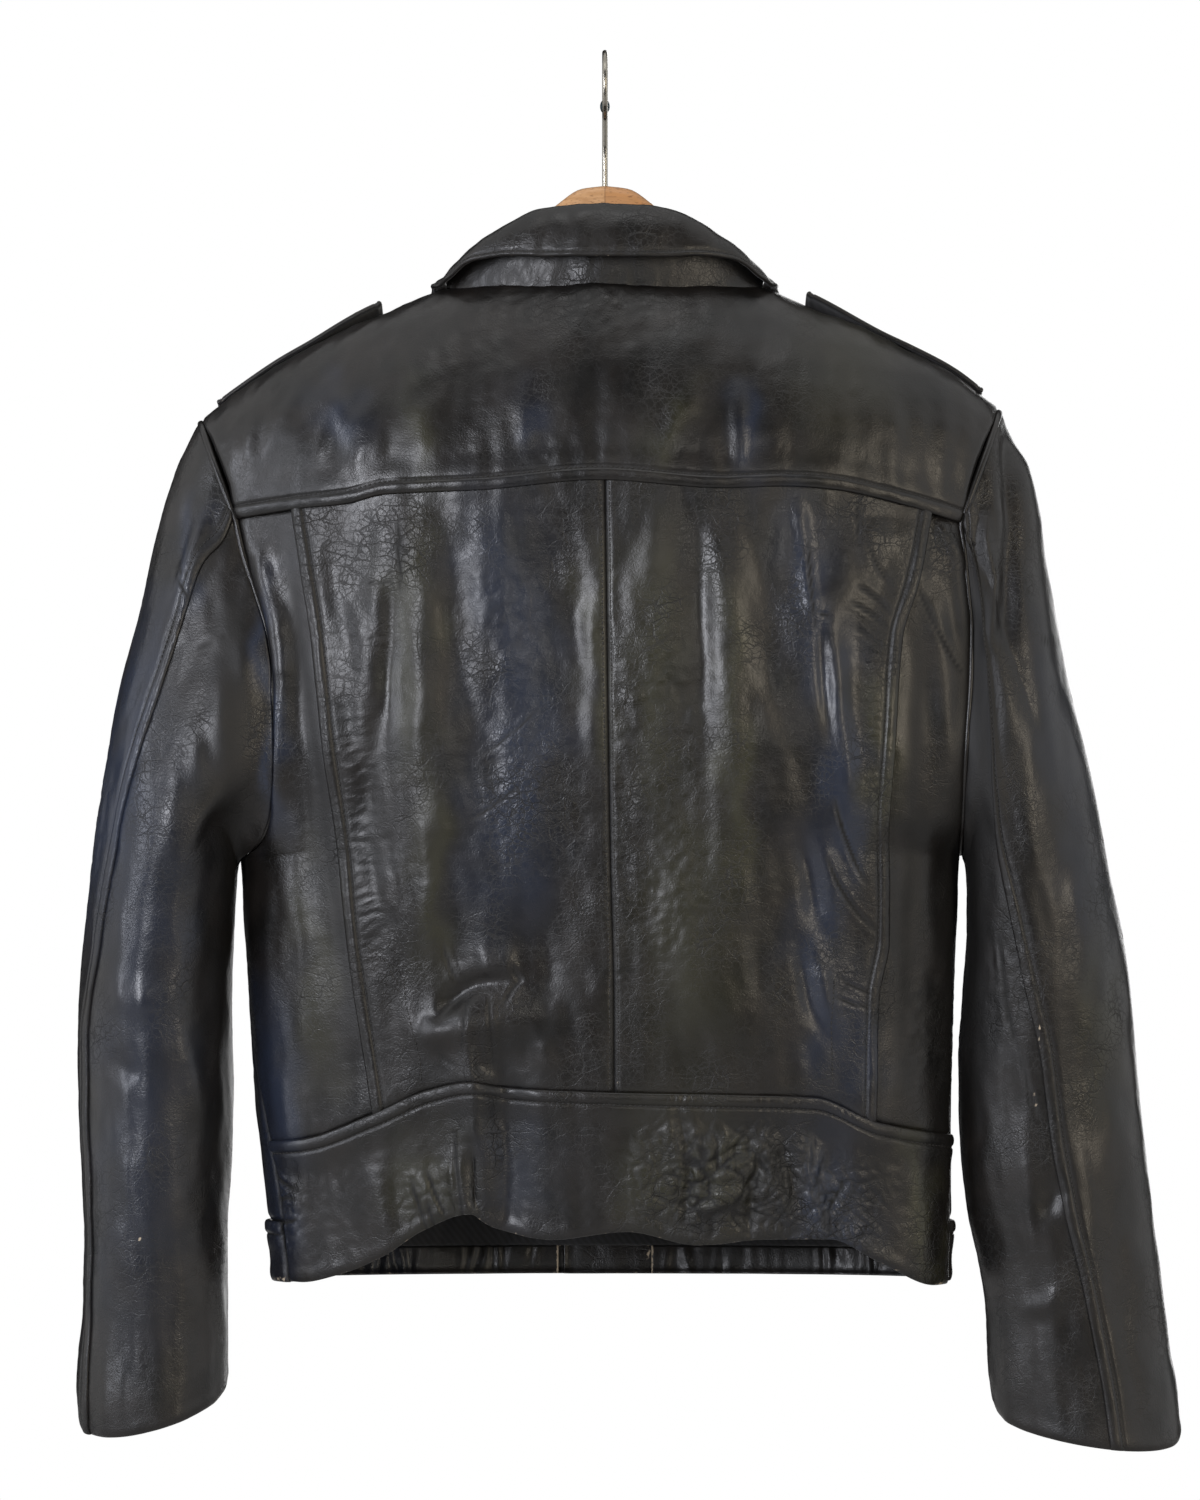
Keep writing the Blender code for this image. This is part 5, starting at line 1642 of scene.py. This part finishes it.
def buildSleeve(side, name, look):
    foot, front = armholeSeamTurns(side)
    away = (side * 0.262, 0, -0.52)

    def backSeam(down):
        seam = np.arccos(1 - 2 * curve(down, sleeveKnots(side), sleeveSections[side]["seam"]))
        return mix(foot, seam, ease(down, 0, 0.05))

    def topPiece(across, down):
        return sleevePoint(side, down, mix(front, backSeam(down), across))

    def underPiece(across, down):
        return sleevePoint(side, down, mix(backSeam(down) - seamOverlap, front + 2 * math.pi, across))

    topLook, underLook = (dict(look, edges=look[part]) for part in ("top", "under"))
    top = buildSheet(f"sleeve_{name}_top", topPiece, topLook, hide, hideRelief, away)
    buildSheet(f"sleeve_{name}_under", underPiece, underLook, hide, hideRelief, away)
    return top


# The stand runs on under the fall by a share of the half neckline, and its foot lies inside the yoke.
# Fold and edge turn square to the shoulder between two such shares; the bend is by height and reach.
collarLook = {
    "pitch": 0.0022, "grain": 0.45, "underFall": 0.04, "foot": 0.005,
    "fallEdges": ("stitched", "stitched", "plain", "stitched"), "standEdges": ("plain",) * 4,
    "foldFlat": (0.4, 0.6), "edgeFlat": (0.35, 0.5), "bend": (0.25, 0.75),
}


def buildCollar(look):
    def base(turn, scale):
        x, level = neckline(turn, scale)
        return bodyPoint(angleOn(x, level), level)

    def raised(turn, scale, column, flatFrom, flatTo):
        # The neckline, scaled, raised straight up behind and square to the shoulder further on.
        share = np.abs(turn)
        x, level = neckline(turn, scale)
        flat = ease(share, flatFrom, flatTo)[..., None]
        up = unit(mix(np.array([0.0, 0.0, 1.0]), outward(angleOn(x, level), level), flat))
        return base(turn, scale) + up * read(collar, share, column, "share")[..., None]

    def foldLine(turn):
        return raised(turn, 1.0, "fold", *look["foldFlat"])

    def stand(across, down):
        reach = standEnd + look["underFall"]
        turn = mix(-reach, reach, across)
        foot = base(turn, 1.0) - np.array([0, 0, look["foot"]])
        return mix(foldLine(turn) - np.array([0, 0, 2 * seamGap]), foot, down[..., None])

    def fall(across, down):
        # A bend of the second degree from the fold line out and down to the edge.
        turn = mix(-collarEnd, collarEnd, across)
        start = foldLine(turn)
        end = raised(turn, read(collar, np.abs(turn), "scale", "share"), "edge", *look["edgeFlat"])
        drop, reach = look["bend"]
        shoulder = end.copy()
        shoulder[..., 2] = mix(start, end, drop)[..., 2]
        shoulder = mix(start, shoulder, reach)
        t = down[..., None]
        return start * (1 - t) ** 2 + shoulder * 2 * t * (1 - t) + end * t * t

    standLook = dict(look, edges=look["standEdges"])
    fallLook = dict(look, edges=look["fallEdges"], thickness=doubled)
    buildSheet("collar_stand", stand, standLook, hide, hideRelief, away=(0, 0, -0.13))
    return buildSheet("collar_fall", fall, fallLook, hide, hideRelief, away=(0, 0, -0.2))


# A strap runs from its neck end to its tip over the ridge, and stands a little higher at the neck.
strapLook = {
    "pitch": 0.0022, "edges": ("stitched",) * 4, "thickness": doubled,
    "ends": {-1: (-0.1326, -0.2330), 1: (0.1194, 0.2270)}, "level": 0.97, "raise": 0.0045,
    "raisedTo": 0.5,
}


def buildStrap(side, name, look):
    def surface(across, down):
        level = look["level"] + strapWidth * down
        angle = angleOn(mix(*look["ends"][side], across), level)
        rise = doubled + 2 * seamGap + look["raise"] * (1 - ease(across, 0, look["raisedTo"]))
        return bodyPoint(angle, level) + outward(angle, level) * rise[..., None]

    return buildSheet("epaulette_" + name, surface, look, hide, away=(side * 0.18, 0, -0.35))


# Deeper: how much further inside the front they lie at the sides, and the angles between which.
facingLook = {
    "pitch": 0.0016, "lined": False, "grain": 0.15, "edges": ("rubbed", "seam", "plain", "hem"),
    "deeper": (0.002, 0.6, 1.2),
}
liningStripLook = {
    "pitch": 0.0032, "edges": ("plain",) * 4, "thickness": liningCloth, "slot": "lining_cloth",
    "deeper": (0.005, 0.4, 1.0), "sideShare": 0.9,
}
# Plain up to a distance from the middle; the folds wander, and differ in depth within limits.
gathers = {
    "width": 0.0016, "height": 0.00085, "middle": 0.001, "plain": (0.030, 0.045),
    "wander": (2.2, (0.02, 0.03, 0.05), 17), "depth": (0.7, (0.03, 0.03, 0.03), 19), "limits": (0.1, 1.3),
}


def gathered(points):
    # The strips inside the front hem are drawn into small upright folds, uneven in width.
    x = points[..., 0]
    turn = uneven(points, x / gathers["width"], [gathers["wander"]])
    drawn = np.clip(uneven(points, 0.55, [gathers["depth"]]), *gathers["limits"])
    return gathers["height"] * np.sin(turn) * drawn * ease(np.abs(x - gathers["middle"]), *gathers["plain"])


facingStart = 0.0285  # x of the facings' ends at the middle


def insideFront(extra, near, far):
    # How deep a strip lies inside the front: a gap under it, and more towards the sides.
    return lambda angle, level: -leather - 3 * seamGap - extra * ease(np.abs(angle), near, far)


def buildInside(facing, strip):
    # Inside the front under the back hem: a facing along the hem, the lining over it.
    topLevel = 4 - facingHeight / frontBandHeight
    for side, name in ((-1, "left"), (1, "right")):
        ends = at(side * facingStart), border(side)
        surface = bodySheet(*ends, topLevel, 4.0, insideFront(*facing["deeper"]))
        buildSheet("front_facing_" + name, surface, facing, hide, gathered, away=(0, -0.3, -0.7))
    yokeZ = yokeSeam["z"][5]
    liningTop = 2 + (yokeZ - liningTopZ) / (yokeZ - frontHemZ - frontBandHeight)
    ends = border(-strip["sideShare"]), border(strip["sideShare"])
    surface = bodySheet(*ends, liningTop, topLevel, insideFront(*strip["deeper"]))
    buildSheet("front_lining", surface, strip, lining, gathered, away=(0, -0.3, -0.7))


ropeUp = (0.13, 0.97, 0.2)  # a direction that none of the ropes runs along


def addRope(name, path, radius, material, sides):
    # A round profile along a path, its rings square to the path; closed where the path's ends meet.
    closed = np.linalg.norm(path[0] - path[-1]) < 1e-4
    path = path[:-1] if closed else path
    ahead = np.roll(path, -1, axis=0) - np.roll(path, 1, axis=0) if closed else np.gradient(path, axis=0)
    ahead = unit(ahead)
    aside = unit(np.cross(ahead, np.broadcast_to(ropeUp, ahead.shape)))
    up = np.cross(ahead, aside)
    turn = np.arange(sides) * 2 * math.pi / sides
    ring = aside[:, None] * np.cos(turn)[:, None] + up[:, None] * np.sin(turn)[:, None]
    points = path[:, None] + ring * np.broadcast_to(radius, len(path))[:, None, None]
    number = np.arange(len(path) * sides).reshape(len(path), sides)
    if closed:
        return addMesh(name, points, tubeFaces(np.concatenate([number, number[:1]])).tolist(), material)
    caps = [number[0][::-1].tolist(), number[-1].tolist()]
    return addMesh(name, points, tubeFaces(number).tolist() + caps, material)


tapeLook = {"steps": 241, "sides": 10, "radius": 0.0022, "sink": 0.0021}


def buildTape(side, name, look):
    # The turned-in edges of the armhole seam, a soft roll just inside it all round.
    seam = armholePoint(side, np.linspace(0, 2 * math.pi, look["steps"]))
    inward = unit(seam[:-1].mean(0) - seam)
    inward[:, 0] = 0
    addRope("armhole_roll_" + name, seam + unit(inward) * look["sink"], look["radius"], hide, look["sides"])


yokeSheet = buildYoke(yokeLook)
backSheets = buildBack(panelLook, sideLook)
waistSheet = buildWaistband(bandLook)
print("back made")
fronts, sleeves, straps = {}, {}, {}
for side, name in ((-1, "left"), (1, "right")):
    fronts[name] = buildFront(side, name, frontLook, frontBandLook)
    sleeves[name] = buildSleeve(side, name, sleeveLook)
    straps[name] = buildStrap(side, name, strapLook)
    buildTape(side, name, tapeLook)
fallSheet = buildCollar(collarLook)
buildInside(facingLook, liningStripLook)
print("fronts, sleeves and collar made")


# Rows of stitches that hold the pockets inside, by x and z as seen from behind.
reinforcement = {
    "left": (
        (-0.147, -0.533), (-0.134, -0.544), (-0.124, -0.552), (-0.120, -0.557), (-0.119, -0.571),
        (-0.1146, -0.589), (-0.1104, -0.605), (-0.110, -0.618),
    ),
    "right": ((0.1600, -0.538), (0.137, -0.556), (0.135, -0.584), (0.136, -0.622)),
}
centreInset = 0.0024  # from the centre seam of the back to its stitches
frontInset = 0.006
rowStep = 0.0015


def rowThrough(sheet, corners):
    # A line on the sheet through places given by x and z.
    corners = np.array(corners, float)
    run = runAlong(corners)
    places = np.linspace(0, run[-1], int(run[-1] / rowStep) + 2)
    return nearestOn(sheet, *follow(corners, run, places).T)


def sewAll():
    lines = [rowAt(yokeSheet, "bottom", lapStitch), rowAt(waistSheet, "top", lapStitch)]
    for name in ("left", "right"):
        back, (front, band) = backSheets[name], fronts[name]
        lines += [rowAt(back, "near", centreInset), rowAt(back, "far", lapStitch)]
        lines += [rowAt(sleeves[name], "far", lapStitch), rowAt(band, "top", lapStitch)]
        lines.append(rowAt(front, "near", frontInset))
        lines += [rowAt(straps[name], edge, edgeStitch) for edge in edgeNames]
    lines.append(rowAt(fallSheet, "bottom", edgeStitch))
    lines += [rowThrough(backSheets[name], corners) for name, corners in reinforcement.items()]
    addStitches("topstitching", lines, thread)


sewAll()
print("stitched")


# The bar's height at its middle and at its ends, and how its ends are rounded off.
hangerLook = {
    "stations": 241, "around": 40, "tall": (0.034, 0.020), "tallTo": 0.02, "endFrom": 0.012,
    "endOver": 0.0125, "endLeast": 0.02,
}
hangerPower = 0.8  # of the bar's section, 1 is an ellipse


def buildHanger(look):
    # A rounded bar: at each x a superellipse in y and z under the bar's upper edge, closed at both ends.
    share = np.linspace(-1, 1, look["stations"])
    x = woodReach * np.sin(share * math.pi / 2)
    free = read(woodTop, np.abs(x), "z", "x")
    seat = read(ridge, x, "z", "x") - leather - woodClear
    top = np.where(np.abs(x) > neckSide, np.minimum(free, seat), free)
    tall = mix(*look["tall"], ease(np.abs(x), look["tallTo"], woodReach))
    past = np.clip(np.abs(x) - woodReach + look["endFrom"], 0, 1) / look["endOver"]
    end = np.sqrt(np.clip(1 - past**2, look["endLeast"], 1))
    turn = np.arange(look["around"]) * 2 * math.pi / look["around"]
    high = (top - tall / 2)[:, None] + (tall / 2 * end)[:, None] * power(np.cos(turn), hangerPower)
    wide = (woodHalfWidth * end)[:, None] * power(np.sin(turn), hangerPower)
    points = np.stack([np.broadcast_to(x[:, None], high.shape), wide, high], -1)
    number = np.arange(high.size).reshape(high.shape)
    caps = [number[0].tolist(), number[-1][::-1].tolist()]
    piece = addMesh("hanger_wood_smooth", points, tubeFaces(number)[:, [0, 3, 2, 1]].tolist() + caps, wood)
    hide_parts("hanger_wood")


# The shank's corners by y and z, the bend's turn in degrees, and the knob's half length and radius.
hookLook = {
    "sides": 24, "step": 0.0006, "turn": (245, -18), "knob": (0.0045, 0.003), "softened": 9,
    "shank": ((0.0, woodTopZ - 0.012), (0.0, -0.0700), (0.0, -0.062), (-0.0012, -0.0545)),
}


def buildHook(look):
    turn = np.radians(np.linspace(*look["turn"], 120))
    bend = np.stack([bendRadius * np.cos(turn), hookTopZ - bendRadius + bendRadius * np.sin(turn)], -1)
    corners = np.concatenate([np.array(look["shank"]), bend])
    run = runAlong(corners)
    flat = follow(corners, run, np.arange(0, run[-1], look["step"]))
    # A running mean rounds the corners; the ends stay where they are.
    mean = np.ones(look["softened"]) / look["softened"]
    flat[6:-6] = np.stack([np.convolve(column, mean, "same") for column in flat.T], -1)[6:-6]
    path = np.concatenate([np.zeros((len(flat), 1)), flat], axis=1)
    hook = addRope("hook_wire", path, wireRadius, wire, look["sides"])
    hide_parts("hanger_hook")
    halfLength, radius = look["knob"]
    share = np.linspace(0, math.pi, 25)
    knobPath = path[-1] + unit(path[-1] - path[-4]) * (seamGap + halfLength * (1 - np.cos(share)))[:, None]
    knob = addRope("hook_knob", knobPath, np.maximum(radius * np.sin(share), 0.0002), dip, look["sides"])
    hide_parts("hook_tip")


# A stud's profile from its middle out, in millimetres, and the places of the front's studs.
studLook = {
    "sides": 40,
    "reach": (0.2, 1.5, 3.0, 4.2, 4.9, 5.15, 5.35, 5.7, 5.95, 5.9, 5.6),
    "rise": (2.9, 2.85, 2.6, 2.2, 1.8, 1.5, 1.65, 1.6, 1.1, 0.5, 0.1),
    "levels": (2.12, 2.37, 2.62, 2.87, 3.5), "x": 0.012, "out": 0.0004,
}


def addStud(name, seat, facing, look):
    # A press stud cap turned from its profile: a rolled rim, a fine groove and a low dome.
    reach, rise = np.array(look["reach"]) / 1000, np.array(look["rise"]) / 1000
    turn = np.arange(look["sides"]) * 2 * math.pi / look["sides"]
    side = unit(np.cross(facing, (0.0, 0.0, 1.0)))
    up = np.cross(side, facing)
    ring = side * np.cos(turn)[:, None] + up * np.sin(turn)[:, None]
    points = seat + ring * reach[:, None, None] + facing * (rise + 2 * seamGap)[:, None, None]
    number = np.arange(len(reach) * len(turn)).reshape(len(reach), len(turn))
    quads = tubeFaces(number)[:, [1, 2, 3, 0]]
    caps = [number[0][::-1].tolist(), number[-1].tolist()]
    piece = addMesh(name + "_cap", points, quads.tolist() + caps, studMetal)
    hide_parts(name)


def buildStuds(look):
    for number, level in enumerate(look["levels"], 1):
        level = np.array([level])
        angle = angleOn(np.array([look["x"]]), level)
        seat = bodyPoint(angle, level)[0] + np.array([0, frontLap + look["out"], 0])
        addStud(f"stud_{number}", seat, outward(angle, level)[0], look)
    for name, strap in straps.items():
        # A strap's stud stands on the strap, at its point nearest to the solid's middle.
        middle = np.array(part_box("strap_stud_" + name)).mean(0)
        place = ((strap["outer"] - middle) ** 2).sum(-1).argmin()
        seat, facing = (strap[part].reshape(-1, 3)[place] for part in ("outer", "normal"))
        addStud("strap_stud_" + name, seat, facing, look)


buildHanger(hangerLook)
buildHook(hookLook)
buildStuds(studLook)
print("hanger and studs made")


stageLook = {
    "floor": "#e9e8e6", "floorHalf": 1.6, "floorZ": -1.05, "background": "#ffffff", "ambient": 0.2,
    "card": "#1c1c1e", "cardAway": 6.5, "cardSize": (9.0, 9.0), "cardZ": -0.4, "felt": 0.9,
    "brushed": (120, 2.0), "paint": (0.6, 0.7),
}


def addBoard(name, corners, material):
    # A flat board of the stage.
    mesh = bpy.data.meshes.new(name)
    mesh.from_pydata(corners, [], [(0, 1, 2, 3)])
    mesh.materials.append(material)
    board = bpy.data.objects.new(name, mesh)
    bpy.context.scene.collection.objects.link(board)
    return board


def buildStage(look):
    square = ((-1, -1), (1, -1), (1, 1), (-1, 1))
    material, tree, place = newMaterial("matt painted floor")
    sheen = spread(tree, noise(tree, place, *look["brushed"]), 0.0, 1.0, *look["paint"])
    finished(material, {"Base Color": linear(look["floor"]), "Roughness": sheen})
    half, z = look["floorHalf"], look["floorZ"]
    addBoard("floor", [(x * half, y * half, z) for x, y in square], material)
    # Dark cards before and behind, which only reflections show: they keep the shine of the hide deep.
    feltLook = {"Base Color": linear(look["card"]), "Roughness": look["felt"]}
    felt = finished(newMaterial("dark felt card")[0], feltLook)
    wide, tall = look["cardSize"]
    for side, name in ((-1, "card_behind"), (1, "card_before")):
        corners = [(x * wide, side * look["cardAway"], z * tall + look["cardZ"]) for x, z in square]
        card = addBoard(name, corners, felt)
        card.visible_camera = card.visible_diffuse = card.visible_shadow = False
    # White to the camera and to reflections and glass, and a weak even light on everything else.
    world = bpy.data.worlds.new("studio")
    bpy.context.scene.world = world
    world.use_nodes = True
    tree = world.node_tree
    tree.nodes.clear()
    path = node(tree, "ShaderNodeLightPath", {}).outputs
    seen = reckon(tree, "ADD", path["Is Camera Ray"], path["Is Glossy Ray"])
    shown = reckon(tree, "ADD", seen, path["Is Transmission Ray"], use_clamp=True)
    light = {"Color": linear(look["background"]), "Strength": between(tree, shown, look["ambient"], 1.0)}
    back = node(tree, "ShaderNodeBackground", light)
    node(tree, "ShaderNodeOutputWorld", {"Surface": back.outputs[0]})


# Soft boxes: where they stand, where they aim, their width and height, their tint, their power in watts.
lampTable = (
    ("key", (-2.0, -3.9, 0.35), (0, 0, -0.45), (0.40, 1.9), "#eceef6", 112),
    ("front", (1.05, -4.5, 0.45), (0, 0, -0.45), (0.30, 1.5), "#f6f2ea", 16),
    ("side", (-2.8, -1.5, 0.3), (0, 0, -0.45), (0.4, 2.2), "#e6eaf6", 38),
    ("fill", (2.4, -2.8, 0.2), (0, 0, -0.45), (0.40, 2.2), "#fff2dc", 34),
    ("top", (0.0, -1.0, 2.0), (0, 0, -0.35), (1.4, 0.8), "#ffffff", 6),
    ("back", (1.2, 3.8, 0.1), (0, 0, -0.45), (1.7, 2.2), "#ffffff", 40),
)


def addLights():
    for name, place, target, size, tint, watts in lampTable:
        lamp = bpy.data.lights.new(name, "AREA")
        lamp.shape = "RECTANGLE"
        lamp.size, lamp.size_y = size
        lamp.energy = watts
        lamp.color = linear(tint)[:3]
        light = bpy.data.objects.new(name, lamp)
        bpy.context.scene.collection.objects.link(light)
        light.location = place
        light.rotation_mode = "QUATERNION"
        light.rotation_quaternion = (Vector(target) - Vector(place)).to_track_quat("-Z", "Y")


cameraLook = {"place": (-0.003, -5.04, -0.42), "lens": 200}


def addCamera(look):
    camera = bpy.data.cameras.new("camera")
    camera.lens = look["lens"]
    camera.clip_end = 30
    view = bpy.data.objects.new("camera", camera)
    bpy.context.scene.collection.objects.link(view)
    view.location = look["place"]
    view.rotation_euler = (math.radians(90), 0, 0)
    bpy.context.scene.camera = view


buildStage(stageLook)
addLights()
addCamera(cameraLook)
bpy.context.scene.view_settings.view_transform = "Standard"
print("stage, lights and camera ready")
